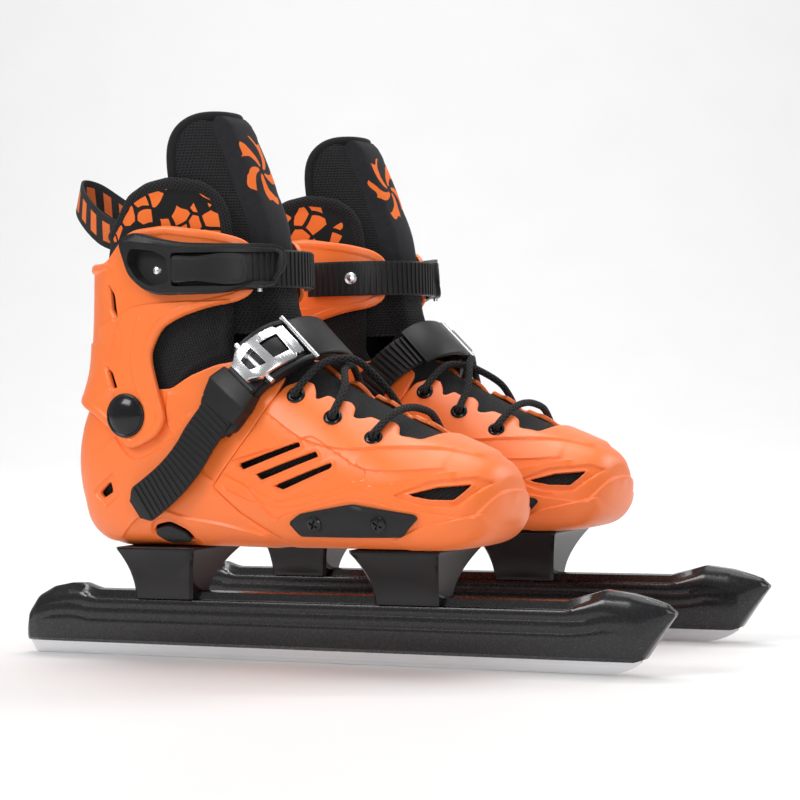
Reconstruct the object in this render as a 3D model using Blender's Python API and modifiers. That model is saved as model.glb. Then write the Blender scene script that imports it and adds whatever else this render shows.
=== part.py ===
"""A pair of ice skates: adjustable hard shell boots, each on a long speed blade.

Everything is drawn in millimetres and turned into metres where an object is made.
Each piece is modelled once for a skate whose middle plane is y = 0 and whose outer
(lateral) side is +y. The left skate uses it as drawn and the right skate mirrored.
Frame: +X to the toes, +Y to the left, +Z up, the ice at z = 0.
"""

import math

import bmesh
import bpy
import numpy as np
from mathutils import Matrix, Vector

MM = 0.001

# ---------------------------------------------------------------- driving dimensions (mm)
BLADE_LENGTH = 400.0
RUNNER_THICKNESS = 1.4
RUNNER_SHOWN = 7.0  # steel that stands below the tube
TUBE_WIDTH = 16.8
TUBE_TOP = 38.0  # ridge of the tube between its two humps
HUMP_RISE = 5.0
LEDGE_DROP = 5.0  # the tube's side ledge, below its ridge
TOWER_HEIGHT = 30.5  # from the ledge to the sole
TOWER_TOP_WIDTH = 54.0
SKATE_SPACING = 152.0
BOOT_LENGTH = 264.0
BOOT_WIDTH = 99.0
BOOT_HEIGHT = 236.5  # sole to the tip of the tongue
SHELL_WALL = 2.6
SOLE_THICKNESS = 3.8
LINER_WALL = 4.0
LINER_GAP = 0.9  # between the shells' inner side and the liner
TONGUE_WALL = 5.0
CUFF_WALL = 2.6
CUFF_CLEARANCE = 1.0  # between the heel shell's side and the cuff
CUFF_HEEL_ROOM = 3.2  # the same at the back, where the cuff swings
PIVOT_RADIUS = 12.0
PIVOT_SHAFT_RADIUS = 4.5
STRAP_WIDTH = 22.0
STRAP_THICKNESS = 2.2
LACE_DIAMETER = 4.2
EYELET_RADIUS = 4.2
MOUNT_BOLT_RADIUS = 3.5
BOLT_HEAD_RADIUS = 7.0
SIZE_TRAVEL = 18.0
BUTTON_TRAVEL = 1.8
GAP = 0.3
RUNNING_GAP = 0.4

# ---------------------------------------------------------------- sizes worked out
LEDGE_Z = TUBE_TOP - LEDGE_DROP
SOLE_Z = LEDGE_Z + GAP + TOWER_HEIGHT + GAP
SHELL_FLOOR = SOLE_Z + SOLE_THICKNESS
PLATE_TOP = SHELL_FLOOR + GAP + 3.4
LINER_FLOOR = PLATE_TOP + GAP
HALF_BLADE = BLADE_LENGTH / 2
LACE_RADIUS = LACE_DIAMETER / 2

# The boot is drawn at one size and fitted to BOOT_LENGTH, BOOT_WIDTH and BOOT_HEIGHT.
DRAWN_LENGTH = 264.0
DRAWN_WIDTH = 99.0
DRAWN_HEIGHT = 236.5
DRAWN_SOLE = 64.0
ANKLE = (-99.0, 137.0)  # cuff pivot in side view

# Sections from the toe round the heel and up the shaft. Each is a rounded loop between
# a point on the sole or back line and a point on the instep or shin line:
# back x, back z, front x, front z, half width, share where it is widest, back and front fullness
SECTIONS = (
    (111.8, 86.0, 111.8, 95.0, 6.0, 0.50, 2.2, 2.2),
    (110.5, 78.0, 110.8, 102.0, 18.0, 0.45, 2.5, 2.2),
    (106.0, 71.0, 106.5, 108.5, 29.0, 0.42, 3.0, 2.2),
    (98.0, 66.0, 98.0, 114.0, 37.5, 0.40, 3.5, 2.2),
    (84.0, 64.0, 84.0, 120.0, 44.5, 0.40, 4.0, 2.2),
    (64.0, 64.0, 64.0, 129.0, 48.5, 0.40, 4.0, 2.2),
    (42.0, 64.0, 42.0, 140.0, 49.5, 0.40, 4.0, 2.2),
    (20.0, 64.0, 20.0, 153.5, 48.0, 0.40, 4.0, 2.2),
    (-2.0, 64.0, 0.0, 166.0, 45.5, 0.42, 4.0, 2.2),
    (-24.0, 64.0, -9.0, 174.0, 43.5, 0.44, 3.8, 2.3),
    (-48.0, 64.0, -13.0, 180.0, 42.0, 0.46, 3.6, 2.4),
    (-74.0, 64.0, -15.0, 185.0, 41.0, 0.47, 3.4, 2.4),
    (-100.0, 64.0, -16.0, 189.0, 40.5, 0.48, 3.2, 2.4),
    (-124.0, 64.0, -17.0, 193.0, 40.5, 0.49, 3.0, 2.4),
    (-141.0, 72.5, -18.0, 197.0, 41.0, 0.50, 2.8, 2.4),
    (-149.0, 88.0, -18.5, 201.0, 41.0, 0.50, 2.6, 2.4),
    (-152.0, 106.0, -19.0, 205.0, 41.0, 0.50, 2.5, 2.4),
    (-150.0, 124.0, -19.5, 209.0, 41.0, 0.50, 2.4, 2.4),
    (-143.0, 141.0, -20.0, 213.0, 41.0, 0.50, 2.4, 2.3),
    (-137.0, 158.0, -20.5, 218.0, 41.0, 0.50, 2.4, 2.3),
    (-134.5, 178.0, -21.0, 224.0, 41.0, 0.50, 2.4, 2.3),
    (-133.0, 200.0, -22.0, 232.0, 41.0, 0.50, 2.4, 2.3),
    (-132.0, 220.0, -24.0, 243.0, 41.0, 0.50, 2.4, 2.3),
    (-131.0, 240.0, -28.0, 256.0, 41.0, 0.50, 2.4, 2.3),
    (-130.0, 262.0, -33.0, 272.0, 41.0, 0.50, 2.4, 2.3),
)
AROUND = 16  # corners round each section

# Outlines in side view.
HEEL_SHELL_EDGE = (
    (-4, 50), (-8, 71), (-30, 84), (-47, 98), (-36, 111), (-21, 128), (-8, 146),
    (-5, 157), (-15, 165), (-30, 166), (-45, 163.5), (-60, 158), (-72, 151),
    (-85, 151), (-99, 154), (-115, 151), (-165, 146), (-165, 50),
)  # fmt: skip
TOE_SHELL_EDGE = (
    (-4, 50), (-8, 71), (-30, 84), (-47, 98), (-36, 111), (-21, 128), (-8, 146),
    (0, 154), (14, 149), (25, 142), (42, 134), (49, 130), (61, 125), (70, 122),
    (80, 190), (130, 190), (130, 50),
)  # fmt: skip
CUFF_EDGE = (
    (-165, 222), (-112, 221), (-105, 228), (-99, 234), (-92, 238), (-71, 239.5), (-45, 235),
    (-33, 231), (-28, 225), (-28, 202), (-34, 197), (-50, 194), (-63, 190), (-75, 184),
    (-82, 172), (-82, 165), (-79, 153), (-76, 142), (-74, 134), (-80, 125), (-94, 119),
    (-99, 119.5), (-108, 128), (-122, 138), (-165, 152),
)  # fmt: skip
LINER_FOOT_EDGE = (
    (130, 50), (130, 190), (82, 190), (78, 110), (47, 108), (23, 117), (0, 130), (-15, 147),
    (-30, 158), (-60, 156), (-99, 152), (-165, 146), (-165, 50),
)  # fmt: skip
LINER_COLLAR_EDGE = (
    (-165, 153), (-99, 157), (-60, 169), (-38, 180), (-36, 226), (-37, 240), (-39, 250),
    (-44, 258), (-53, 264), (-72, 266.5), (-88, 264), (-102, 258), (-112, 247), (-120, 241),
    (-165, 240),
)  # fmt: skip
TONGUE_FOOT_EDGE = (
    (72, 190), (71, 110), (47, 104), (23, 112), (0, 124), (-18, 138), (-30, 150), (-14, 158), (10, 190),
)  # fmt: skip
GUARD_EDGE = ((4, 80), (10, 73.5), (71, 73.5), (79, 82), (44, 89))
BUTTON_EDGE = ((-91, 72), (-88, 76), (-78, 78), (-68, 73), (-67, 68), (-84, 67))
BUCKLE_EDGE = (
    (-94, 232), (-84, 235), (-74, 231), (-51, 227), (-24, 226.5), (-24, 202.5), (-46, 201), (-74, 201),
    (-82, 206),
)  # fmt: skip
CLIP_EDGE = ((-58, 223), (-31, 223), (-31, 206), (-58, 206))

# Eyelets in side view, from the toe up, the same on both sides of the throat.
EYELETS = ((50.0, 123.0), (26.0, 134.0), (3.0, 146.0))

# Route of the instep strap over the boot as (section, degrees round it from the sole
# over the outer side), from its free end on the outer side to its anchor inside.
INSTEP_ROUTE = (
    (12.5, 62), (11.8, 78), (11.15, 97), (10.5, 116), (9.7, 136), (9.0, 156), (8.7, 180),
    (9.0, 204), (9.7, 224), (10.4, 243), (10.9, 262), (11.1, 278),
)  # fmt: skip
INSTEP_STEPS = 44  # the route is cut into this many steps, and each piece covers some
INSTEP_ARM_SPAN = (8, 21)
KEEPER_SPAN = (9, 12)
CHEEK_SPAN = (14, 20)
LEVER_SPAN = (13, 19)
RELEASE_SPAN = (16, 18)
PAD_SPAN = (21, 28)

# How far the liner draws in at each section, so that the toe shell can slide over it.
LINER_WAIST = {5: 0.5, 6: 1.2, 7: 3.0, 8: 4.2, 9: 4.8, 10: 4.6, 11: 4.2, 12: 4.0, 13: 3.0, 14: 1.5}

CUFF_STRAP_Z = 214.5
CUFF_STRAP_TURN = (124, 262)  # degrees round the shaft, from the buckle to the inner anchor
TONGUE_TOP = (
    # z, lean back beyond the form, half turn in degrees each way from the front
    (180.0, 0.0, 70.0),
    (200.0, 0.0, 80.0),
    (220.0, 0.0, 86.0),
    (240.0, 0.0, 90.0),
    (258.0, 1.5, 92.0),
    (274.0, 7.0, 90.0),
    (288.0, 13.0, 76.0),
    (296.0, 17.0, 58.0),
    (300.3, 21.0, 36.0),
)
FORM_TOP = 258.0  # above this height the tongue keeps the form's last level section
PULL_LOOP_ROUTE = (
    (-131.5, 17, 242), (-141, 15, 250), (-151, 9, 259), (-156, 0, 264), (-151, -9, 262),
    (-141, -15, 254), (-131.5, -17, 247),
)  # fmt: skip

# ---------------------------------------------------------------- colours: sRGB as linear values
ORANGE = (1.0, 0.205, 0.038)
SOFT_BLACK = (0.017, 0.017, 0.019)
GLOSS_BLACK = (0.008, 0.008, 0.010)
STEEL = (0.62, 0.63, 0.65)
CHROME = (0.80, 0.80, 0.82)
FINISHES = {
    # name: colour, roughness, metallic
    "orange_shell": (ORANGE, 0.38, 0.0),
    "black_plastic": (SOFT_BLACK, 0.45, 0.0),
    "gloss_black": (GLOSS_BLACK, 0.12, 0.0),
    "tube_lacquer": (GLOSS_BLACK, 0.22, 0.3),
    "runner_steel": (STEEL, 0.28, 1.0),
    "bolt_steel": (STEEL, 0.30, 1.0),
    "chrome": (CHROME, 0.08, 1.0),
    "liner_fabric": (SOFT_BLACK, 0.90, 0.0),
    "lace_cord": (SOFT_BLACK, 0.85, 0.0),
}


# ---------------------------------------------------------------- the boot's form
def fit(x, z):
    """A point of the drawn boot, in side view, at the boot's real size."""
    along = ANKLE[0] + (x - ANKLE[0]) * BOOT_LENGTH / DRAWN_LENGTH
    return along, SOLE_Z + (z - DRAWN_SOLE) * BOOT_HEIGHT / DRAWN_HEIGHT


def fitted(outline):
    return [fit(x, z) for x, z in outline]


def spline(values, at):
    """Catmull-Rom value of a list of points at a fractional index."""
    values = np.asarray(values, float)
    i = int(min(max(math.floor(at), 0), len(values) - 2))
    f = at - i
    before = values[max(i - 1, 0)]
    after = values[min(i + 2, len(values) - 1)]
    a, b = values[i], values[i + 1]
    return 0.5 * (
        2 * a + (b - before) * f + (2 * before - 5 * a + 4 * b - after) * f**2
        + (3 * a - before - 3 * b + after) * f**3
    )  # fmt: skip


def power(value, exponent):
    return math.copysign(abs(value) ** exponent, value)


def form(section, degrees):
    """A point on the boot's outer form, before any offset."""
    bx, bz, fx, fz, half, widest, back_full, front_full = spline(SECTIONS, section)
    bx, bz = fit(bx, bz)
    fx, fz = fit(fx, fz)
    turn = math.radians(degrees)
    side, end = math.sin(turn), math.cos(turn)
    if end >= 0:
        share = widest * (1 - end ** (2 / back_full))
        full = back_full
    else:
        share = widest + (1 - widest) * (-end) ** (2 / front_full)
        full = front_full
    across = power(side, 2 / full) * half * BOOT_WIDTH / DRAWN_WIDTH
    return np.array([bx + (fx - bx) * share, across, bz + (fz - bz) * share])


def normal(section, degrees):
    """The outward direction at a point of the form."""
    last = len(SECTIONS) - 1
    up = form(min(section + 0.05, last), degrees) - form(max(section - 0.05, 0), degrees)
    around = form(section, degrees + 2) - form(section, degrees - 2)
    out = np.cross(up, around)
    return out / np.linalg.norm(out)


def skin(section, degrees, offset, floor):
    """A point at an offset from the form, flattened at the sole."""
    point = form(section, degrees) + offset * normal(section, degrees)
    return np.array([point[0], point[1], max(point[2], floor)])


def probe_grid():
    """Sections, angles, points and normals all over the form, to seat pieces on it."""
    sections = np.linspace(0.5, len(SECTIONS) - 1, 150)
    angles = np.linspace(2, 178, 80)
    keys = [(s, a) for s in sections for a in angles]
    points = np.array([form(s, a) for s, a in keys])
    return keys, points


KEYS, POINTS = probe_grid()


def seat(x, z, side=1):
    """The place and outward direction on the form's side that is seen at x, z in side view."""
    x, z = fit(x, z)
    nearest = int(np.argmin((POINTS[:, 0] - x) ** 2 + (POINTS[:, 2] - z) ** 2))
    section, degrees = KEYS[nearest]
    out = normal(section, degrees)
    point = POINTS[nearest].copy()
    if abs(out[1]) > 0.2:
        point[1] -= (out[0] * (x - point[0]) + out[2] * (z - point[2])) / out[1]
        point[0], point[2] = x, z
    flip = np.array([1, side, 1])
    return point * flip, out * flip


def seat_above(x, y):
    """The place and outward direction on top of the instep at x, y in plan."""
    x = fit(x, 0)[0]
    high = np.array([k[1] > 90 and k[0] < 10 for k in KEYS])
    away = (POINTS[:, 0] - x) ** 2 + (POINTS[:, 1] - abs(y)) ** 2
    nearest = int(np.argmin(np.where(high, away, np.inf)))
    flip = np.array([1, math.copysign(1, y), 1])
    return POINTS[nearest] * flip, normal(*KEYS[nearest]) * flip


# ---------------------------------------------------------------- making meshes
def new_collection(name):
    collection = bpy.data.collections.new(name)
    bpy.context.scene.collection.children.link(collection)
    return collection


def make(verts, faces):
    """A closed mesh object from points in millimetres, with its normals outward."""
    shape = bmesh.new()
    made = [shape.verts.new(Vector(v) * MM) for v in verts]
    for face in faces:
        shape.faces.new([made[i] for i in face])
    bmesh.ops.remove_doubles(shape, verts=shape.verts, dist=0.00001)
    bmesh.ops.recalc_face_normals(shape, faces=shape.faces)
    return to_object(shape)


def to_object(shape):
    mesh = bpy.data.meshes.new("shape")
    shape.to_mesh(mesh)
    shape.free()
    piece = bpy.data.objects.new("shape", mesh)
    WORKSHOP.objects.link(piece)
    return piece


def loft(rings):
    """A closed skin over rings of equal length, with flat ends."""
    count = len(rings[0])
    verts = [point for ring in rings for point in ring]
    faces = []
    for i in range(len(rings) - 1):
        for j in range(count):
            k = (j + 1) % count
            faces.append((i * count + j, i * count + k, (i + 1) * count + k, (i + 1) * count + j))
    faces.append(tuple(reversed(range(count))))
    faces.append(tuple((len(rings) - 1) * count + j for j in range(count)))
    return make(verts, faces)


def prism(outline, low_y, high_y):
    """A side-view outline carried across the boot."""
    return loft([[(x, y, z) for x, z in outline] for y in (low_y, high_y)])


def block(low, high):
    (x0, y0, z0), (x1, y1, z1) = low, high
    return prism([(x0, z0), (x1, z0), (x1, z1), (x0, z1)], y0, y1)


def turned(profile, base, axis, sides=14):
    """A profile of (radius, height) turned about an axis, made with a Screw modifier."""
    mesh = bpy.data.meshes.new("profile")
    edges = [(i, i + 1) for i in range(len(profile) - 1)]
    mesh.from_pydata([(r * MM, 0, h * MM) for r, h in profile], edges, [])
    piece = bpy.data.objects.new("shape", mesh)
    WORKSHOP.objects.link(piece)
    screw = piece.modifiers.new("Screw", "SCREW")
    screw.steps = screw.render_steps = sides
    screw.use_merge_vertices = True
    screw.merge_threshold = 0.00001
    turn = Vector((0, 0, 1)).rotation_difference(Vector(axis)).to_matrix().to_4x4()
    bake(piece)
    piece.data.transform(Matrix.Translation(Vector(base) * MM) @ turn)
    tidy_normals(piece)
    return piece


def keep_largest(piece):
    """Drop the crumbs that a cut leaves beside the body."""
    shape = bmesh.new()
    shape.from_mesh(piece.data)
    islands, seen = [], set()
    for start in shape.verts:
        if start in seen:
            continue
        island, queue = set(), [start]
        while queue:
            vert = queue.pop()
            if vert not in island:
                island.add(vert)
                queue.extend(edge.other_vert(vert) for edge in vert.link_edges)
        seen |= island
        islands.append(island)
    largest = max(islands, key=len)
    bmesh.ops.delete(shape, geom=[v for v in shape.verts if v not in largest], context="VERTS")
    shape.to_mesh(piece.data)
    shape.free()
    return piece


def tidy_normals(piece):
    shape = bmesh.new()
    shape.from_mesh(piece.data)
    bmesh.ops.remove_doubles(shape, verts=shape.verts, dist=0.00001)
    bmesh.ops.recalc_face_normals(shape, faces=shape.faces)
    shape.to_mesh(piece.data)
    shape.free()


def cylinder(radius, base, axis, length, sides=14):
    """A round rod that starts at base and runs along axis."""
    shape = bmesh.new()
    bmesh.ops.create_cone(shape, cap_ends=True, segments=sides, radius1=radius * MM,
                          radius2=radius * MM, depth=length * MM)  # fmt: skip
    turn = Vector((0, 0, 1)).rotation_difference(Vector(axis)).to_matrix().to_4x4()
    lift = Matrix.Translation((0, 0, length * MM / 2))
    shape.transform(Matrix.Translation(Vector(base) * MM) @ turn @ lift)
    return to_object(shape)


def bake(piece):
    """Replace an object's mesh with what its modifiers make of it."""
    graph = bpy.context.evaluated_depsgraph_get()
    mesh = bpy.data.meshes.new_from_object(piece.evaluated_get(graph))
    piece.modifiers.clear()
    old = piece.data
    piece.data = mesh
    bpy.data.meshes.remove(old)


def combine(piece, *others, operation, solver="EXACT"):
    """Cut, join or keep the common part with other solids, which become helpers."""
    for other in others:
        step = piece.modifiers.new(operation.title(), "BOOLEAN")
        step.operation = operation
        step.solver = solver
        step.object = other
        other.hide_render = True
        other.display_type = "WIRE"
        WORKSHOP.objects.unlink(other)
        CUTTERS.objects.link(other)
    bake(piece)
    return piece


def cut(piece, *others, solver="EXACT"):
    return combine(piece, *others, operation="DIFFERENCE", solver=solver)


def join(piece, *others, solver="EXACT"):
    return combine(piece, *others, operation="UNION", solver=solver)


def common(piece, other):
    return combine(piece, other, operation="INTERSECT")


def boot_cup(outer, inner, outer_floor, inner_floor, heel_room=0.0, first=0, waist=None):
    """A thin walled boot, open at the top, between two offsets from the form."""
    last = len(SECTIONS) - 1
    waist = waist or {}

    def ring(section, offset, floor):
        points = []
        for i in range(AROUND):
            degrees = 360 * i / AROUND
            back = max(math.cos(math.radians(degrees)), 0) ** 2
            draw = waist.get(section, 0)
            points.append(skin(section, degrees, offset + heel_room * back - draw, floor))
        return points

    outside = [ring(s, outer, outer_floor) for s in range(first, last + 1)]
    inside = [ring(s, inner, inner_floor) for s in range(last, first, -1)]
    return loft(outside + inside)


def boot_core(offset, floor):
    """The solid inside an offset from the form."""
    rings = [
        [skin(s, 360 * i / AROUND, offset, floor) for i in range(AROUND)]
        for s in range(len(SECTIONS))
    ]
    return loft(rings)


def side_patch(outline, low, high, side=1):
    """A pad that follows the form's side inside an outline, between two offsets."""
    pad = common(boot_core(high, SOLE_Z), prism(fitted(outline), side * 15, side * 90))
    return cut(pad, boot_core(low, SOLE_Z - 1), solver="MANIFOLD")


def ribbon(frames, width, low, high):
    """A strap of rectangular section along frames of (point, across, out)."""
    rings = []
    for point, across, out in frames:
        a, o = across * width / 2, out
        rings.append([point - a + o * low, point + a + o * low, point + a + o * high, point - a + o * high])
    return loft(rings)


def tube(points, radius):
    """A round cord along points, made as a curve with a bevel."""
    data = bpy.data.curves.new("cord", "CURVE")
    data.dimensions = "3D"
    line = data.splines.new("POLY")
    line.points.add(len(points) - 1)
    for target, point in zip(line.points, points):
        target.co = (*(Vector(point) * MM), 1)
    data.bevel_depth = radius * MM
    data.bevel_resolution = 2
    data.use_fill_caps = True
    cord = bpy.data.objects.new("cord", data)
    WORKSHOP.objects.link(cord)
    graph = bpy.context.evaluated_depsgraph_get()
    mesh = bpy.data.meshes.new_from_object(cord.evaluated_get(graph))
    bpy.data.objects.remove(cord)
    piece = bpy.data.objects.new("shape", mesh)
    WORKSHOP.objects.link(piece)
    tidy_normals(piece)
    return piece


# ---------------------------------------------------------------- straps over the boot
def instep_frames(span):
    """Frames along the instep strap's route, at each of its steps in a span."""
    route = INSTEP_ROUTE
    last = len(route) - 1
    frames = []
    for step in range(span[0], span[1] + 1):
        at = step / INSTEP_STEPS * last
        here = spline(route, at)
        ahead = spline(route, min(at + 0.05, last))
        behind = spline(route, max(at - 0.05, 0))
        along = form(*ahead) - form(*behind)
        out = normal(*here)
        across = np.cross(out, along)
        frames.append((form(*here), across / np.linalg.norm(across), out))
    return frames


def section_at_height(z, degrees):
    """The section whose point at an angle round the shaft lies at a height."""
    low, high = 9.0, len(SECTIONS) - 1.0
    for _ in range(30):
        middle = (low + high) / 2
        if form(middle, degrees)[2] < z:
            low = middle
        else:
            high = middle
    return (low + high) / 2


def shaft_frames(z, start, end, count):
    """Frames round the shaft at one height, level, between two angles."""
    frames = []
    height = fit(0, z)[1]
    for i in range(count):
        degrees = start + (end - start) * i / (count - 1)
        section = section_at_height(height, degrees)
        out = normal(section, degrees) * (1, 1, 0)
        out /= np.linalg.norm(out)
        frames.append((form(section, degrees), np.array([0.0, 0.0, 1.0]), out))
    return frames


# ---------------------------------------------------------------- blade and frame
def tube_section(x, top, bottom, width, ledged):
    """Half outline of the blade tube at one place, mirrored into a ring."""
    half = width / 2
    tall = top - bottom
    plain = ((0.50, 0.0), (0.88, 0.16), (1.0, 0.42), (0.97, 0.66), (0.80, 0.84), (0.55, 0.95), (0.0, 1.0))
    ledge = top - LEDGE_DROP
    half_outline = []
    for i, (across, up) in enumerate(plain):
        y, z = across * half, bottom + up * tall
        if ledged:
            y, z = (
                (0.50 * half, bottom), (0.88 * half, bottom + 5), (half, bottom + 13), (half * 0.98, ledge - 2.5),
                (half * 0.90, ledge), (half * 0.55, ledge), (0.0, top),
            )[i]  # fmt: skip
        half_outline.append((y, z))
    right = [(x, y, z) for y, z in half_outline[:-1]]
    left = [(x, -y, z) for y, z in reversed(half_outline[:-1])]
    peak = [(x, 0.40 * half, top), (x, -0.40 * half, top)]
    return right + peak + left


def blade_tube():
    """The lacquered tube: rounded tail, two humps, swept nose."""
    hump = TUBE_TOP + HUMP_RISE
    end = HALF_BLADE
    low = RUNNER_SHOWN
    stations = (
        # x, top, bottom, width share, ledged
        (-end, 17, low, 0.35, False),
        (-end + 2.5, 25, low, 0.62, False),
        (-end + 9, 33, low, 0.84, False),
        (-end + 20, 38.5, low, 0.96, False),
        (-end + 32, hump - 2.2, low, 1.0, False),
        (-end + 41, hump - 1.8, low, 1.0, False),
        (-end + 47, TUBE_TOP + 1.2, low, 1.0, False),
        (-end + 52, TUBE_TOP, low, 1.0, True),
        (end - 58, TUBE_TOP, low, 1.0, True),
        (end - 47, TUBE_TOP + 2.8, low, 1.0, False),
        (end - 37, hump + 0.5, low, 1.0, False),
        (end - 22, hump - 1.5, low, 0.95, False),
        (end - 17, hump - 2.7, low + 1.5, 0.88, False),
        (end - 10, hump - 4.5, low + 11, 0.70, False),
        (end - 4, hump - 6.5, low + 19, 0.50, False),
        (end, hump - 10, low + 24, 0.30, False),
    )
    tube_body = loft([tube_section(x, top, bottom, share * TUBE_WIDTH, ledged)
                      for x, top, bottom, share, ledged in stations])  # fmt: skip
    slot_half = RUNNER_THICKNESS / 2 + GAP
    slot = prism(runner_outline(GAP), -slot_half, slot_half)
    return cut(tube_body, slot)


def runner_outline(grow=0.0):
    """Side view of the steel runner: bevelled tail, curved tip, a root inside the tube."""
    end, show = HALF_BLADE, RUNNER_SHOWN
    tip = [(end - 38.6 + 20 * t, show * t**2) for t in (0, 0.35, 0.6, 0.8)]
    if grow:
        tip = [(end - 38.6 + 19, show - 5)]
    root = show + 5.5 + grow
    return [(-end + 5 - grow, -grow)] + tip + [
        (end - 18.8 + grow, show + (grow > 0) * 0.5), (end - 22 + grow, root), (-end + 4 - grow, root),
        (-end + 0.5 - grow, show),
    ]  # fmt: skip


def blade_runner():
    half = RUNNER_THICKNESS / 2
    return prism(runner_outline(), -half, half)


def tower(rear_top, rear_foot, front_top, front_foot, foot_half):
    """A post with flared sides from the tube's ledge to the sole."""
    foot = LEDGE_Z + GAP
    head = foot + TOWER_HEIGHT
    rings = []
    for rise in (0.0, 0.28, 0.55, 0.78, 0.94, 1.0):
        flare = rise**1.9 if rise < 1 else 1.0
        half = foot_half + (TOWER_TOP_WIDTH / 2 - foot_half) * flare
        rear = rear_foot + (rear_top - rear_foot) * flare
        front = front_foot + (front_top - front_foot) * flare
        z = foot + (head - foot) * rise
        corner = 1.6
        rings.append([
            (rear, -half + corner, z), (rear + corner, -half, z), (front - corner, -half, z),
            (front, -half + corner, z), (front, half - corner, z), (front - corner, half, z),
            (rear + corner, half, z), (rear, half - corner, z),
        ])  # fmt: skip
    return loft(rings)


def saddle(x0, x1):
    """The room a tower leaves for the tube's ridge, with an arched top."""
    half = TUBE_WIDTH / 2 * 0.55 + GAP
    top = TUBE_TOP + GAP
    outline = [(-half, LEDGE_Z - 5), (half, LEDGE_Z - 5), (half, top), (half * 0.6, top + 2.2),
               (-half * 0.6, top + 2.2), (-half, top)]  # fmt: skip
    return loft([[(x, y, z) for y, z in outline] for x in (x0, x1)])


def towers():
    half = TUBE_WIDTH / 2 + 0.9
    bore_base = SOLE_Z - 13
    heel_x, toe_x = fit(-95, 0)[0], fit(54, 0)[0]
    places = {
        "heel_tower": (tower(heel_x - 25, heel_x - 25, heel_x + 25.5, heel_x + 13, half), heel_x),
        "toe_tower": (tower(toe_x - 26, toe_x - 21, toe_x + 26, toe_x + 17, half), toe_x),
    }
    made = {}
    for name, (post, x) in places.items():
        bore = cylinder(MOUNT_BOLT_RADIUS + GAP, (x, 0, bore_base), (0, 0, 1), 40)
        made[name] = cut(post, saddle(x - 60, x + 60), bore)
    return made


def mount_bolt(x):
    """A flat headed bolt from the sole plate down into a tower."""
    head_top = PLATE_TOP - 0.3
    head_base = head_top - 1.8
    foot = SOLE_Z - 12.5
    r, big = MOUNT_BOLT_RADIUS, BOLT_HEAD_RADIUS
    return turned([(0, head_top - foot), (big, head_top - foot), (big, head_base - foot),
                   (r, head_base - foot), (r, 0), (0, 0)], (fit(x, 0)[0], 0, foot), (0, 0, 1))  # fmt: skip


# ---------------------------------------------------------------- shells
def sole_plate():
    """The plate that carries both mount bolts and that the toe shell slides on."""
    rear, middle, front = (fit(x, 0)[0] for x in (-128, -52, 74))
    half = 22
    plate = block((rear, -half, SHELL_FLOOR - 1.2), (middle, half, PLATE_TOP))
    rail = block((middle - 5, -half, SHELL_FLOOR + 2 * GAP), (front, half, PLATE_TOP))
    return join(plate, rail)


def counterbore(x):
    """Bolt hole and head recess through the plate and the sole under it."""
    x = fit(x, 0)[0]
    hole = cylinder(MOUNT_BOLT_RADIUS + 2 * GAP, (x, 0, SOLE_Z - 5), (0, 0, 1), 30)
    recess = cylinder(BOLT_HEAD_RADIUS + GAP, (x, 0, PLATE_TOP - 2.4), (0, 0, 1), 20)
    return [hole, recess]


def pivot_hole(grow):
    x, z = fit(*ANKLE)
    return cylinder(PIVOT_SHAFT_RADIUS + grow, (x, -90, z), (0, 1, 0), 180, 16)


def sleeve():
    """Side walls of the heel shell that the toe shell slides over, straight along the boot."""
    rear, front = -74, -24
    wings = []
    for side in (1, -1):
        outline = []
        for z in (72, 84, 98, 112, 124):
            point, _ = seat(-50, z)
            outline.append((side * (point[1] - SHELL_WALL - RUNNING_GAP - 1.3), fit(0, z)[1]))
        outline += [(y - side * 1.4, z) for y, z in reversed(outline)]
        rear_x, front_x = fit(rear, 0)[0], fit(front, 0)[0]
        wings.append(loft([[(x, y, z) for y, z in outline] for x in (rear_x, front_x)]))
    return wings


def heel_shell():
    walls = boot_cup(0, -SHELL_WALL, SOLE_Z, SHELL_FLOOR)
    shell = common(walls, prism(fitted(HEEL_SHELL_EDGE), -90, 90))
    shell = join(shell, sole_plate(), *sleeve())
    x, z = fit(*ANKLE)
    grown = [(bx + (bx - x - 20) * 0.03, bz + (bz - 72) * 0.09) for bx, bz in BUTTON_EDGE]
    return cut(shell, *counterbore(-95), *counterbore(54), pivot_hole(GAP),
               prism(fitted(grown), 15, 90), solver="MANIFOLD")  # fmt: skip


def eyelet_holes():
    holes = []
    for side in (1, -1):
        for x, z in EYELETS:
            point, out = seat(x, z, side)
            holes.append(cylinder(EYELET_RADIUS, point - out * 8, out, 16, 12))
    return holes


def toe_shell():
    walls = boot_cup(0, -SHELL_WALL, SOLE_Z, SHELL_FLOOR)
    edge = [(x + RUNNING_GAP, z) if i < 8 else (x, z) for i, (x, z) in enumerate(TOE_SHELL_EDGE)]
    shell = common(walls, prism(fitted(edge), -90, 90))
    half = MOUNT_BOLT_RADIUS + 2 * GAP
    x = fit(54, 0)[0]
    slot = block((x - SIZE_TRAVEL - half - 1, -half - 0.4, SOLE_Z - 5), (x + half + 1, half + 0.4, PLATE_TOP + 2))
    return cut(shell, slot, *eyelet_holes())


def cuff():
    inner = CUFF_CLEARANCE
    walls = boot_cup(inner + CUFF_WALL, inner, SOLE_Z, SOLE_Z, CUFF_HEEL_ROOM, first=8)
    shell = common(walls, prism(fitted(CUFF_EDGE), -90, 90))
    return cut(shell, pivot_hole(GAP))


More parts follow.
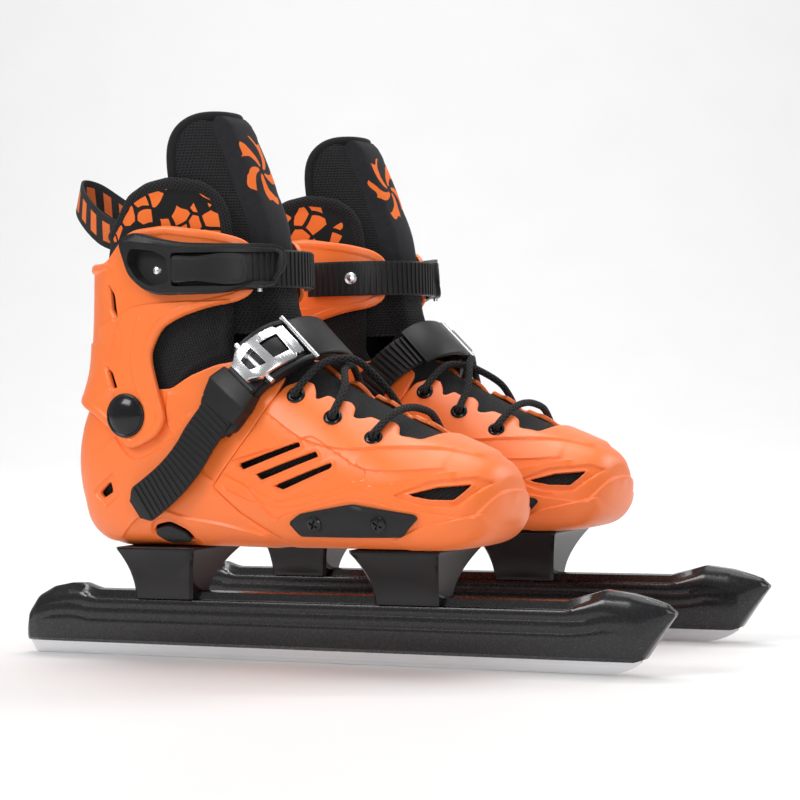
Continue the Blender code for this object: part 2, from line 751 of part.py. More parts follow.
def pivot_rivet(side):
    """A domed cap with a shaft through the cuff and the heel shell."""
    point, _ = seat(*ANKLE)
    under = -SHELL_WALL + GAP
    top = CUFF_CLEARANCE + CUFF_WALL + GAP
    r, big = PIVOT_SHAFT_RADIUS, PIVOT_RADIUS
    profile = [(0, top + 3.6), (big * 0.5, top + 3.2), (big * 0.85, top + 2.0), (big, top + 0.6), (big, top),
               (r, top), (r, under), (0, under)]  # fmt: skip
    return turned(profile, point * (1, side, 1), (0, side, 0))


# ---------------------------------------------------------------- soft pieces
def liner_foot():
    outer = -SHELL_WALL - LINER_GAP
    walls = boot_cup(outer, outer - LINER_WALL, LINER_FLOOR, LINER_FLOOR + LINER_WALL,
                     first=1, waist=LINER_WAIST)  # fmt: skip
    return common(walls, prism(fitted(LINER_FOOT_EDGE), -90, 90))


def liner_collar():
    outer = -SHELL_WALL - LINER_GAP
    walls = boot_cup(outer, outer - LINER_WALL, LINER_FLOOR, LINER_FLOOR + LINER_WALL, first=9)
    return common(walls, prism(fitted(LINER_COLLAR_EDGE), -90, 90))


def tongue_foot():
    outer = -SHELL_WALL - LINER_GAP - LINER_WALL - 1.2
    walls = boot_cup(outer, outer - TONGUE_WALL, LINER_FLOOR, LINER_FLOOR + 8, waist=LINER_WAIST)
    return common(walls, prism(fitted(TONGUE_FOOT_EDGE), -90, 90))


def tongue_top():
    """The upper tongue: a curved pad that wraps the shin, inside the collar."""
    tucked = -SHELL_WALL - LINER_GAP - LINER_WALL - 1.2
    rings = []
    for z, lean, turn in TONGUE_TOP:
        level = min(z, FORM_TOP)
        outline = []
        for inset, angles in ((0, range(-6, 7)), (TONGUE_WALL + 1, range(6, -7, -1))):
            for i in angles:
                away = turn * i / 6
                bulge = min(max((24 - abs(away)) / 8, 0), 1)
                point, _, out = shaft_frames(level, 180 - away, 180, 2)[0]
                point = point + out * (tucked * (1 - bulge) - 1.5 * bulge - inset)
                outline.append((point[0] - lean, point[1], point[2] + fit(0, z)[1] - fit(0, level)[1]))
        rings.append(outline)
    return loft(rings)


def pull_loop():
    """A webbing handle that stands out behind the collar."""
    points = [spline(PULL_LOOP_ROUTE, i / 2) for i in range(2 * len(PULL_LOOP_ROUTE) - 1)]
    points = [np.array([fit(p[0], p[2])[0], p[1], fit(p[0], p[2])[1]]) for p in points]
    frames = []
    for i, point in enumerate(points):
        along = points[min(i + 1, len(points) - 1)] - points[max(i - 1, 0)]
        across = np.array([0.25, 0.0, 0.97])
        out = np.cross(along, across)
        frames.append((point, across, out / np.linalg.norm(out)))
    return ribbon(frames, 17, -0.8, 0.8)


def lace_route():
    """Laced from the front bar: out of each eyelet, over the throat, in at the next pair."""
    under = -SHELL_WALL - LACE_RADIUS - 0.5
    over = LACE_RADIUS + 0.9

    def at(pair, side, height):
        point, out = seat(*EYELETS[pair], side)
        return point + out * height

    def across(x, y, height):
        point, out = seat_above(x, y)
        return point + out * height

    half = [
        across(52, 0, over + 0.6), across(52, 12, over + 0.4), across(51.5, 24, over + 0.6),
        at(0, 1, over + 1.2) + (0, -1.5, 0), at(0, 1, 1.5), at(0, 1, -2.5), at(0, 1, under - 1) + (-3.5, 0, 1.2),
        0.5 * (at(0, 1, under) + at(1, 1, under)), at(1, 1, under - 1) + (3.5, 0, -1.2), at(1, 1, -2.5),
        at(1, 1, 1.5), at(1, 1, over + 1.2) + (0, -1.5, 0), across(24, 22, over + 0.6),
    ]  # fmt: skip
    return half, at, across, over, under


def lace():
    half, at, across, over, under = lace_route()
    mirror = np.array([1, -1, 1])
    step = LACE_DIAMETER + GAP
    lower = [across(16, 8, over + 0.4), across(12, -3, over + 0.4), across(7, -18, over + 0.4)]
    upper = [across(16, 8, over + step) * mirror, across(12, -3, over + step + 0.6) * mirror,
             across(7, -18, over + 1.5) * mirror]  # fmt: skip

    def end(side):
        return [at(2, side, over + 1.2) + (0, -1.5 * side, 0), at(2, side, 1.5), at(2, side, -2.5),
                at(2, side, under - 1) + (-2.5, 0, 1.0), at(2, side, under - 1) + (-5, 0, 2)]  # fmt: skip

    left_run = half + lower + end(-1)
    right_run = [p * mirror for p in half[1:]] + upper + end(1)
    control = right_run[::-1] + left_run
    steps = 2
    points = [spline(control, i / steps) for i in range(steps * (len(control) - 1) + 1)]
    return tube(points, LACE_RADIUS)


# ---------------------------------------------------------------- buckles and straps
STRAP_LOW = 5.6  # underside of the instep ladder above the form
RELEASE_GAP = 0.9  # at each end of the release tab, which tilts in its window


def instep_arm():
    """The channel on the heel shell that holds the instep buckle, with its strap keeper."""
    low = 1.0
    top = STRAP_LOW - GAP
    over = STRAP_LOW + STRAP_THICKNESS
    arm = ribbon(instep_frames(INSTEP_ARM_SPAN), STRAP_WIDTH + 3, low, top)
    keeper = ribbon(instep_frames(KEEPER_SPAN), STRAP_WIDTH + 9, low + 0.2, over + 3.4)
    cheeks = ribbon(instep_frames(CHEEK_SPAN), STRAP_WIDTH + 8, low + 0.2, over + 5.2)
    through = ribbon(instep_frames((7, 14)), STRAP_WIDTH + 2 * GAP, top - 0.2, over + GAP)
    open_top = ribbon(instep_frames((13, 22)), STRAP_WIDTH + 3.4, top - 0.3, over + 12)
    whole = join(arm, keeper, cheeks, solver="MANIFOLD")
    return keep_largest(cut(whole, through, open_top, solver="MANIFOLD"))


def instep_ladder():
    return ribbon(instep_frames((0, INSTEP_STEPS)), STRAP_WIDTH - 0.6, STRAP_LOW, STRAP_LOW + STRAP_THICKNESS)


def instep_pad():
    low = STRAP_LOW + STRAP_THICKNESS + GAP
    return ribbon(instep_frames(PAD_SPAN), STRAP_WIDTH + 4, low, low + 2.8)


def instep_lever():
    low = STRAP_LOW + STRAP_THICKNESS + 1.6
    body = ribbon(instep_frames(LEVER_SPAN), STRAP_WIDTH + 1.6, low, low + 5.5)
    window = ribbon(instep_frames(RELEASE_SPAN), 12, low - 3, low + 9)
    return cut(body, window)


def instep_release():
    low = STRAP_LOW + STRAP_THICKNESS + 1.9
    frames = instep_frames(RELEASE_SPAN)
    along = frames[-1][0] - frames[0][0]
    along *= RELEASE_GAP / np.linalg.norm(along)
    frames[0] = (frames[0][0] + along, *frames[0][1:])
    frames[-1] = (frames[-1][0] - along, *frames[-1][1:])
    return ribbon(frames, 12 - 2 * GAP, low, low + 5.6)


def buckle_base():
    return CUFF_CLEARANCE + CUFF_WALL + RUNNING_GAP


def cuff_buckle():
    """The moulded body on the cuff's outer side: rivet well, lever window, strap mouth."""
    low = buckle_base()
    body = side_patch(BUCKLE_EDGE, low, low + 7.5)
    well = prism(fitted([(-87, 226), (-73, 224), (-64, 214), (-66, 207), (-78, 207), (-86, 216)]), 20, 90)
    grown = [(-60, 225), (-24, 225), (-24, 204), (-60, 204)]
    window = common(boot_core(low + 20, SOLE_Z), prism(fitted(grown), 5, 90))
    window = cut(window, boot_core(low + 1.4, SOLE_Z))
    return cut(body, well, window)


def cuff_clip():
    low = buckle_base() + 6.0
    return side_patch(CLIP_EDGE, low, low + 2.0)


def cuff_ladder():
    """The toothed strap round the shin, from its inner anchor into the outer buckle."""
    low = buckle_base() + 2.2
    return ribbon(shaft_frames(CUFF_STRAP_Z, *CUFF_STRAP_TURN, 16), STRAP_WIDTH - 1.5, low, low + STRAP_THICKNESS)


def cuff_bolt(x, z, side, low, head):
    """A domed rivet head on a short shaft, seated on the cuff's side."""
    point, out = seat(x, z, side)
    out = np.array([out[0], out[1], 0])
    out /= np.linalg.norm(out)
    profile = [(0, low + 2.4), (head * 0.6, low + 1.9), (head, low + 0.5), (head, low), (0, low)]
    return turned(profile, point, out, 12)


def side_guard(side):
    return side_patch(GUARD_EDGE, 0.5, 3.2, side)


def size_button():
    return side_patch(BUTTON_EDGE, BUTTON_TRAVEL - SHELL_WALL + 0.4, BUTTON_TRAVEL)


# ---------------------------------------------------------------- assembly
def joint_places():
    """Where each moving group turns or slides, on the outer side of one skate."""
    hinge_x, hinge_z = fit(*ANKLE)
    clip, out = seat(-31, 214.5)
    lever = instep_frames((LEVER_SPAN[1], LEVER_SPAN[1]))[0]
    lever_point = lever[0] + lever[2] * (STRAP_LOW + STRAP_THICKNESS + 3)
    release = instep_frames((RELEASE_SPAN[0], RELEASE_SPAN[0]))[0]
    release_point = release[0] + release[2] * (STRAP_LOW + STRAP_THICKNESS + 3)
    return {
        "frame": (0, 0, 0),
        "cuff": (hinge_x, 0, hinge_z),
        "toe": (fit(54, 0)[0], 0, SOLE_Z),
        "button": (fit(-79, 0)[0], 0, fit(0, 72)[1]),
        "clip": clip + out * (buckle_base() + 6),
        "lever": lever_point,
        "release": release_point,
    }


def build_pieces():
    """Every piece of one skate: name to (object, finish, group it moves with)."""
    posts = towers()
    low = buckle_base()
    return {
        "blade_runner": (blade_runner(), "runner_steel", "frame"),
        "blade_tube": (blade_tube(), "tube_lacquer", "frame"),
        "heel_tower": (posts["heel_tower"], "gloss_black", "frame"),
        "toe_tower": (posts["toe_tower"], "gloss_black", "frame"),
        "heel_mount_bolt": (mount_bolt(-95), "bolt_steel", "frame"),
        "toe_mount_bolt": (mount_bolt(54), "bolt_steel", "frame"),
        "heel_shell": (heel_shell(), "orange_shell", "frame"),
        "toe_shell": (toe_shell(), "orange_shell", "toe"),
        "cuff": (cuff(), "orange_shell", "cuff"),
        "cuff_pivot_outer": (pivot_rivet(1), "gloss_black", "frame"),
        "cuff_pivot_inner": (pivot_rivet(-1), "gloss_black", "frame"),
        "size_button": (size_button(), "black_plastic", "button"),
        "side_guard_outer": (side_guard(1), "black_plastic", "toe"),
        "side_guard_inner": (side_guard(-1), "black_plastic", "toe"),
        "liner_foot": (liner_foot(), "liner_fabric", "frame"),
        "liner_collar": (liner_collar(), "liner_fabric", "cuff"),
        "tongue_foot": (tongue_foot(), "liner_fabric", "frame"),
        "tongue_top": (tongue_top(), "liner_fabric", "cuff"),
        "pull_loop": (pull_loop(), "liner_fabric", "cuff"),
        "lace": (lace(), "lace_cord", "toe"),
        "instep_arm": (instep_arm(), "black_plastic", "frame"),
        "instep_lever": (instep_lever(), "chrome", "lever"),
        "instep_release": (instep_release(), "black_plastic", "release"),
        "instep_ladder": (instep_ladder(), "black_plastic", "frame"),
        "instep_pad": (instep_pad(), "black_plastic", "frame"),
        "cuff_buckle": (cuff_buckle(), "black_plastic", "cuff"),
        "cuff_clip": (cuff_clip(), "black_plastic", "clip"),
        "cuff_ladder": (cuff_ladder(), "black_plastic", "cuff"),
        "cuff_bolt_outer": (cuff_bolt(-75.5, 215, 1, low, 3.3), "chrome", "cuff"),
        "cuff_bolt_inner": (cuff_bolt(-44, 214.5, -1, low + 6, 3.6), "chrome", "cuff"),
    }


def make_materials():
    made = {}
    for name, (colour, roughness, metallic) in FINISHES.items():
        material = bpy.data.materials.new(name)
        material.use_nodes = True
        shader = material.node_tree.nodes["Principled BSDF"]
        shader.inputs["Base Color"].default_value = (*colour, 1)
        shader.inputs["Roughness"].default_value = roughness
        shader.inputs["Metallic"].default_value = metallic
        made[name] = material
    return made


def place_skate(pieces, materials, side):
    """Copy every piece to one skate, mirrored for the right one, under its joints' empties."""
    name = "left" if side > 0 else "right"
    offset = Vector((0, side * SKATE_SPACING / 2 * MM, 0))
    empties = {}
    for group, place in joint_places().items():
        empty = bpy.data.objects.new(f"{name}_{group}_joint", None)
        empty.empty_display_size = 0.01
        empty.location = Vector((place[0], place[1] * side, place[2])) * MM + offset
        SKATES.objects.link(empty)
        empties[group] = empty
    for piece_name, (piece, finish, group) in pieces.items():
        mesh = piece.data.copy()
        anchor = empties[group].location
        mesh.transform(Matrix.Translation(offset - anchor) @ Matrix.Diagonal((1, side, 1, 1)))
        if side < 0:
            mesh.flip_normals()
        mesh.materials.clear()
        mesh.materials.append(materials[finish])
        mesh.shade_smooth()
        mesh.set_sharp_from_angle(angle=math.radians(35))
        copy = bpy.data.objects.new(f"{name}_{piece_name}", mesh)
        SKATES.objects.link(copy)
        copy.parent = empties[group]


def main():
    pieces = build_pieces()
    materials = make_materials()
    for side in (1, -1):
        place_skate(pieces, materials, side)
    for piece, _, _ in pieces.values():
        bpy.data.objects.remove(piece)


for old in list(bpy.data.objects):
    bpy.data.objects.remove(old)
SKATES = new_collection("ice_skates")
CUTTERS = new_collection("cutters")
WORKSHOP = new_collection("workshop")
main()
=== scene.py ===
"""A pair of ice skates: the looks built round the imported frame.

Each piece is modelled once, in millimetres, for a skate whose middle plane is y = 0 and
whose outer side is +y, and then placed twice: as drawn on the left and mirrored on the right.
"""

import math

import bmesh
import bpy
import numpy as np
from mathutils import Matrix, Vector


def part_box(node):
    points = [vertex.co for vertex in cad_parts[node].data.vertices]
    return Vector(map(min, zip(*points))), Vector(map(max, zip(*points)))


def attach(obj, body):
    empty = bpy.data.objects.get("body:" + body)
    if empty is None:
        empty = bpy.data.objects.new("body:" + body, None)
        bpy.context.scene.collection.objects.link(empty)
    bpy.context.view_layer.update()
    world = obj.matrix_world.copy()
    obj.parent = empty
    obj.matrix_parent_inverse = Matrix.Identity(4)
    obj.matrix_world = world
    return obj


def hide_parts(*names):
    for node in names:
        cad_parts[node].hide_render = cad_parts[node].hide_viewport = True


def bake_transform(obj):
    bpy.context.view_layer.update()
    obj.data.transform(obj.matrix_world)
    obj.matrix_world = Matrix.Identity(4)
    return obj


bl_info = {
    "name": "Ice skates",
    "version": (1, 0, 0),
    "blender": (4, 5, 0),
    "location": "3D View > Sidebar > Ice skates",
    "description": "Hard shell ice skates on long blades: shells, liner, tongue, laces, buckles and blade",
    "category": "Object",
}

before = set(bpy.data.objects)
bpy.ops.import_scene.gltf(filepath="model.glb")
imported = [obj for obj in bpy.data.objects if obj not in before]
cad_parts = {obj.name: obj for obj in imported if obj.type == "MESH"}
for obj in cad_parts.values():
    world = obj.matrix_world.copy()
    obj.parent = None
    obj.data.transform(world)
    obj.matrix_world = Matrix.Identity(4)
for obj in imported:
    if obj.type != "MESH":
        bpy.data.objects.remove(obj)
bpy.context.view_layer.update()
MM = 0.001
SIDES = {"left": 1, "right": -1}

# ---------------------------------------------------------------- the boot's form (mm)
LIFT = 0.1  # the sole stands this much above its drawn height
SHELL_WALL = 2.6
CUFF_LOW, CUFF_WALL, CUFF_HEEL_ROOM = 1.0, 2.6, 3.2
LINER_HIGH, LINER_WALL = -3.5, 4.0
ANKLE = (-99.0, 137.0)
SECTIONS = np.array((
    (111.8, 86.0, 111.8, 95.0, 6.0, 0.50, 2.2, 2.2),
    (110.5, 78.0, 110.8, 102.0, 18.0, 0.45, 2.5, 2.2),
    (106.0, 71.0, 106.5, 108.5, 29.0, 0.42, 3.0, 2.2),
    (98.0, 66.0, 98.0, 114.0, 37.5, 0.40, 3.5, 2.2),
    (84.0, 64.0, 84.0, 120.0, 44.5, 0.40, 4.0, 2.2),
    (64.0, 64.0, 64.0, 129.0, 48.5, 0.40, 4.0, 2.2),
    (42.0, 64.0, 42.0, 140.0, 49.5, 0.40, 4.0, 2.2),
    (20.0, 64.0, 20.0, 153.5, 48.0, 0.40, 4.0, 2.2),
    (-2.0, 64.0, 0.0, 166.0, 45.5, 0.42, 4.0, 2.2),
    (-24.0, 64.0, -9.0, 174.0, 43.5, 0.44, 3.8, 2.3),
    (-48.0, 64.0, -13.0, 180.0, 42.0, 0.46, 3.6, 2.4),
    (-74.0, 64.0, -15.0, 185.0, 41.0, 0.47, 3.4, 2.4),
    (-100.0, 64.0, -16.0, 189.0, 40.5, 0.48, 3.2, 2.4),
    (-124.0, 64.0, -17.0, 193.0, 40.5, 0.49, 3.0, 2.4),
    (-141.0, 72.5, -18.0, 197.0, 41.0, 0.50, 2.8, 2.4),
    (-149.0, 88.0, -18.5, 201.0, 41.0, 0.50, 2.6, 2.4),
    (-152.0, 106.0, -19.0, 205.0, 41.0, 0.50, 2.5, 2.4),
    (-150.0, 124.0, -19.5, 209.0, 41.0, 0.50, 2.4, 2.4),
    (-143.0, 141.0, -20.0, 213.0, 41.0, 0.50, 2.4, 2.3),
    (-137.0, 158.0, -20.5, 218.0, 41.0, 0.50, 2.4, 2.3),
    (-134.5, 178.0, -21.0, 224.0, 41.0, 0.50, 2.4, 2.3),
    (-133.0, 200.0, -22.0, 232.0, 41.0, 0.50, 2.4, 2.3),
    (-132.0, 220.0, -24.0, 243.0, 41.0, 0.50, 2.4, 2.3),
    (-131.0, 240.0, -28.0, 256.0, 41.0, 0.50, 2.4, 2.3),
    (-130.0, 262.0, -33.0, 272.0, 41.0, 0.50, 2.4, 2.3),
))  # fmt: skip
LAST = len(SECTIONS) - 1
TOE_TIP = np.array((112.3, 0.0, 90.6))

# Outlines in side view.
HEEL_SHELL_EDGE = (
    (-4, 50), (-8, 71), (-30, 84), (-47, 98), (-36, 111), (-21, 128), (-8, 146),
    (-5, 157), (-15, 165), (-30, 166), (-45, 163.5), (-60, 158), (-72, 151),
    (-85, 151), (-99, 154), (-115, 151), (-165, 146), (-165, 50),
)  # fmt: skip
TOE_SHELL_EDGE = (
    (-3.6, 50), (-7.6, 71), (-29.6, 84), (-46.6, 98), (-35.6, 111), (-20.6, 128), (-7.6, 146),
    (-4, 151.5), (3, 154), (9, 152.5), (12, 148.5), (14, 143.5), (19, 146), (24, 143.2), (30, 142.2),
    (34, 139), (35.5, 134), (39, 133.2), (43, 134.2), (48, 132), (54, 131), (58, 128.5), (61, 124),
    (66, 123), (71, 121.5), (74, 124), (78, 190), (130, 190), (130, 50),
)  # fmt: skip
CUFF_EDGE = (
    (-165, 222), (-112, 221), (-105, 228), (-99, 234), (-92, 238), (-71, 239.5), (-45, 235),
    (-33, 231), (-28, 225), (-28, 202), (-34, 197), (-50, 194), (-63, 190), (-75, 184),
    (-82, 172), (-82, 165), (-79, 153), (-76, 142), (-74, 134), (-80, 125), (-94, 119),
    (-99, 119.5), (-108, 128), (-122, 138), (-165, 152),
)  # fmt: skip
LINER_EDGE = (
    (130, 50), (130, 190), (82, 190), (78, 110), (47, 108), (23, 117), (0, 130), (-15, 147),
    (-30, 158), (-38, 172), (-37, 190), (-36, 226), (-37, 240), (-39, 250),
    (-44, 258), (-53, 264), (-72, 266.5), (-88, 264), (-102, 258), (-112, 247), (-120, 241),
    (-165, 240), (-165, 50),
)  # fmt: skip
LINER_WAIST = np.array([0, 0, 0, 0, 0, 0.5, 1.2, 3.0, 4.2, 4.8, 4.6, 4.2, 4.0, 3.0, 1.5] + [0] * 10, float)
GUARD_EDGE = ((4, 80), (10, 73.5), (71, 73.5), (79.5, 82), (78, 84), (44, 89.5), (12, 84.5))
BUTTON_EDGE = ((-91, 72), (-88, 76), (-78, 78), (-68, 73), (-67, 68), (-84, 67))
BUTTON_RECESS = ((-94, 71.5), (-90, 79), (-79, 81.5), (-66, 76), (-63, 66), (-86, 64.5))
BUTTON_GAP = 0.75  # of the button and of its hole, each from the edge
EYELETS = ((50.0, 123.0), (26.0, 134.0), (3.0, 146.0))
EYELET_HOLE = 3.2
SLOTS = (
    ((-30, 110), (9, 122), (11, 119.5), (-27, 107)),
    ((-19, 104.5), (20, 117), (22, 114), (-15, 101.5)),
    ((-7, 98.5), (31, 111.5), (30, 108), (-1, 96.5)),
)  # fmt: skip
TOE_WINDOW = ((73, 94), (88, 98), (103, 99), (100, 95), (96, 91), (85, 91.5))
TOE_WINDOW_RECESS = ((66, 93.5), (84, 100.5), (104, 102.5), (110, 99), (97, 87.5), (82, 88))
HEEL_VENT = ((-125, 94), (-115, 101), (-113.5, 95), (-122, 91))
CUFF_NOTCH = ((-112, 164), (-107.5, 152), (-104.5, 152), (-107.5, 160))
CUFF_SLIT = ((-109.5, 209), (-108, 195), (-103.5, 190), (-105.5, 203))

INSTEP_ROUTE = (
    (12.5, 62), (11.8, 78), (11.15, 97), (10.5, 116), (9.7, 136), (9.0, 156), (8.7, 180),
    (9.0, 204), (9.7, 224), (10.4, 243), (10.9, 262), (11.1, 278),
)  # fmt: skip
INSTEP_STEPS = 44
STRAP_LOW, STRAP_THICKNESS, STRAP_WIDTH = 5.6, 2.2, 22.0
CUFF_STRAP_Z, CUFF_STRAP_TURN = 214.5, (124, 262)
TONGUE_TOP = (
    # z, lean back beyond the form, half turn in degrees each way from the front
    (180.0, 0.0, 70.0), (200.0, 0.0, 80.0), (220.0, 0.0, 84.0), (240.0, 0.0, 84.0), (258.0, 1.5, 80.0),
    (274.0, 7.0, 76.0), (288.0, 13.0, 67.0), (296.0, 17.0, 52.0), (300.3, 21.0, 30.0),
)  # fmt: skip
FORM_TOP = 258.0


def smoothstep(low, high, value):
    t = np.clip((value - low) / (high - low), 0, 1)
    return t * t * (3 - 2 * t)


def unit(rows):
    return rows / np.maximum(np.linalg.norm(rows, axis=-1, keepdims=True), 1e-9)


def rows_at(table, at):
    """Catmull-Rom values of a table's rows at fractional indices."""
    table, at = np.asarray(table, float), np.asarray(at, float)
    i = np.clip(np.floor(at).astype(int), 0, len(table) - 2)
    f = (at - i)[..., None]
    before, after = table[np.maximum(i - 1, 0)], table[np.minimum(i + 2, len(table) - 1)]
    a, b = table[i], table[i + 1]
    return 0.5 * (2 * a + (b - before) * f + (2 * before - 5 * a + 4 * b - after) * f**2
                  + (3 * a - before - 3 * b + after) * f**3)  # fmt: skip


def form(section, degrees):
    """Points on the boot's outer form. Sections below 0 close the toe."""
    section, degrees = np.broadcast_arrays(np.asarray(section, float), np.asarray(degrees, float))
    row = np.moveaxis(rows_at(SECTIONS, np.clip(section, 0, LAST)), -1, 0)
    bx, bz, fx, fz, half, widest, back_full, front_full = row
    side, end = np.sin(np.radians(degrees)), np.cos(np.radians(degrees))
    back = end >= 0
    full = np.where(back, back_full, front_full)
    rise = np.abs(end) ** (2 / full)
    share = np.where(back, widest * (1 - rise), widest + (1 - widest) * rise)
    across = np.sign(side) * np.abs(side) ** (2 / full) * half
    point = np.stack([bx + (fx - bx) * share, across, bz + (fz - bz) * share + LIFT], axis=-1)
    closing = np.clip(-section, 0, 1)[..., None]
    return point + (TOE_TIP - point) * closing


def normal(section, degrees):
    """The outward direction on the form."""
    section = np.maximum(np.asarray(section, float), -0.9)
    up = form(np.minimum(section + 0.05, LAST), degrees) - form(section - 0.05, degrees)
    around = form(section, np.asarray(degrees) + 2) - form(section, np.asarray(degrees) - 2)
    return unit(np.cross(up, around))


def seat(x, z, side=1):
    """The place and outward direction on the form's side that is seen at x, z in side view."""
    sections, degrees = np.meshgrid(np.linspace(0.5, LAST, 300), np.linspace(2, 178, 160))
    points = form(sections, degrees)
    away = (points[..., 0] - x) ** 2 + (points[..., 2] - z - LIFT) ** 2
    k = np.unravel_index(np.argmin(away), away.shape)
    point, out = points[k].copy(), normal(sections[k], degrees[k])
    if abs(out[1]) > 0.2:
        point[1] -= (out[0] * (x - point[0]) + out[2] * (z + LIFT - point[2])) / out[1]
        point[0], point[2] = x, z + LIFT
    flip = np.array([1, side, 1])
    return point * flip, out * flip


# ---------------------------------------------------------------- templates and their placing
def template(name, verts, faces, uv=None, **masks):
    """A mesh in millimetres, drawn for the outer side at +y. uv holds one place per face corner."""
    mesh = bpy.data.meshes.new(name)
    mesh.from_pydata([tuple(v) for v in np.asarray(verts, float)], [], [tuple(f) for f in faces])
    if uv is not None:
        layer = mesh.uv_layers.new(name="surface")
        layer.data.foreach_set("uv", np.asarray(uv, np.float32).ravel())
    for mask, values in masks.items():
        attribute = mesh.attributes.new(mask, "FLOAT", "POINT")
        attribute.data.foreach_set("value", np.asarray(values, np.float32))
    piece = bpy.data.objects.new(name, mesh)
    bpy.context.scene.collection.objects.link(piece)
    return piece


def baked(piece):
    """Turn an object's modifiers into its mesh."""
    bpy.context.view_layer.update()
    mesh = bpy.data.meshes.new_from_object(piece.evaluated_get(bpy.context.evaluated_depsgraph_get()))
    piece.modifiers.clear()
    piece.data = mesh
    return piece


def bevelled(piece, width, segments=2, angle=35):
    """Round the sharp edges of a template."""
    step = piece.modifiers.new("Bevel", "BEVEL")
    step.width, step.segments = width, segments
    step.limit_method, step.angle_limit = "ANGLE", math.radians(angle)
    return baked(piece)


def joined(name, *pieces):
    """Several templates made one mesh."""
    shape = bmesh.new()
    for piece in pieces:
        shape.from_mesh(piece.data)
    mesh = bpy.data.meshes.new(name)
    materials = [m for piece in pieces for m in piece.data.materials]
    shape.to_mesh(mesh)
    shape.free()
    for material in materials[:1]:
        mesh.materials.append(material)
    for piece in pieces:
        bpy.data.objects.remove(piece)
    piece = bpy.data.objects.new(name, mesh)
    bpy.context.scene.collection.objects.link(piece)
    return piece


def closed_outwards(piece):
    """Merge doubles and turn every face outwards."""
    shape = bmesh.new()
    shape.from_mesh(piece.data)
    bmesh.ops.remove_doubles(shape, verts=shape.verts, dist=0.001)
    bmesh.ops.recalc_face_normals(shape, faces=shape.faces)
    shape.to_mesh(piece.data)
    shape.free()
    return piece


def place(piece, body, finish, slot, stands_for=(), padded=None, bend=None, sharp=38):
    """Put a template on both skates, mirrored on the right, and hide the CAD nodes it stands for."""
    for side, sign in SIDES.items():
        mesh = piece.data.copy()
        offset = Vector((0, sign * sizes().spacing / 2, 0))
        mesh.transform(Matrix.Translation(offset) @ Matrix.Diagonal((MM, sign * MM, MM, 1)))
        if sign < 0:
            mesh.flip_normals()
        mesh.materials.clear()
        mesh.materials.append(material(finish))
        mesh.shade_smooth()
        mesh.set_sharp_from_angle(angle=math.radians(sharp))
        name = f"{side}_{piece.name}"
        copy = bpy.data.objects.new(name + "_finished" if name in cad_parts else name, mesh)
        bpy.context.scene.collection.objects.link(copy)
        if bend:
            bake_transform(copy)
        else:
            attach(copy, f"{side}_{body}")
        if stands_for:
            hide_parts(*[f"{side}_{node}" for node in stands_for])
    bpy.data.objects.remove(piece)


# ---------------------------------------------------------------- cutting pieces out of the form
def smooth_outline(outline, radius=2.5, steps=4):
    """A closed outline with its corners rounded, lifted to the real height."""
    corners = np.asarray(outline, float) + (0, LIFT)
    before, after = np.roll(corners, 1, axis=0), np.roll(corners, -1, axis=0)
    line = []
    for last, corner, ahead in zip(before, corners, after):
        reach = [min(radius, 0.45 * np.linalg.norm(end - corner)) for end in (last, ahead)]
        start, stop = (corner + unit(end - corner) * r for end, r in zip((last, ahead), reach))
        for t in np.linspace(0, 1, steps + 1):
            line.append((1 - t) ** 2 * start + 2 * t * (1 - t) * corner + t**2 * stop)
    return np.array(line)


def nearest_on(line, closed, x, z):
    """For each point: distance to a line in side view, the offset vector, and how far along."""
    a = line if closed else line[:-1]
    d = (np.roll(line, -1, axis=0) if closed else line[1:]) - a
    best = np.full(len(x), 1e18)
    offset = np.zeros((len(x), 2))
    along = np.zeros(len(x))
    turn = np.zeros(len(x))
    span = np.maximum((d**2).sum(axis=1), 1e-9)
    for k in range(len(a)):
        px, pz = x - a[k, 0], z - a[k, 1]
        t = np.clip((px * d[k, 0] + pz * d[k, 1]) / span[k], 0, 1)
        ox, oz = px - t * d[k, 0], pz - t * d[k, 1]
        away = ox * ox + oz * oz
        closer = away < best
        best = np.where(closer, away, best)
        offset[closer, 0], offset[closer, 1] = ox[closer], oz[closer]
        along = np.where(closer, (k + t) / len(a), along)
        turn = np.where(closer, np.sign(d[k, 0] * pz - d[k, 1] * px), turn)
    return np.sqrt(best), offset, along, turn


def inside(line, x, z):
    found = np.zeros(len(x), bool)
    ahead = np.roll(line, -1, axis=0)
    for (x0, z0), (x1, z1) in zip(line, ahead):
        if z0 != z1:
            crosses = ((z0 > z) != (z1 > z)) & (x < (x1 - x0) * (z - z0) / (z1 - z0) + x0)
            found ^= crosses
    return found


def outline_field(outline, points, out, radius=2.5):
    """Distance along the surface to an outline seen from the side, negative inside it."""
    line = smooth_outline(outline, radius)
    x, z = points[:, 0], points[:, 2]
    away, offset, _, _ = nearest_on(line, True, x, z)
    gradient = np.stack([offset[:, 0], np.zeros(len(x)), offset[:, 1]], axis=1)
    gradient = unit(gradient)
    slope = np.linalg.norm(gradient - out * (gradient * out).sum(axis=1, keepdims=True), axis=1)
    return np.where(inside(line, x, z), -1, 1) * away / np.maximum(slope, 0.3)


def hole_field(x, z, radius, points, side):
    """Distance to a round hole square to the form, negative inside it."""
    centre, out = seat(x, z, side)
    away = points - centre
    away = away - (away @ out)[:, None] * out
    near = np.linalg.norm(points - centre, axis=1) < 30
    return np.where(near, np.linalg.norm(away, axis=1) - radius, 30)


SECTION_SPAN, GIRTH_SPAN = 10.0, 300.0  # drawn size of one section and of one way round, when cut flat
MERGE = 0.03  # a cut this near a vertex goes through it
NEAR_STEP = 3.0  # faces further than this from a feature's step are left whole


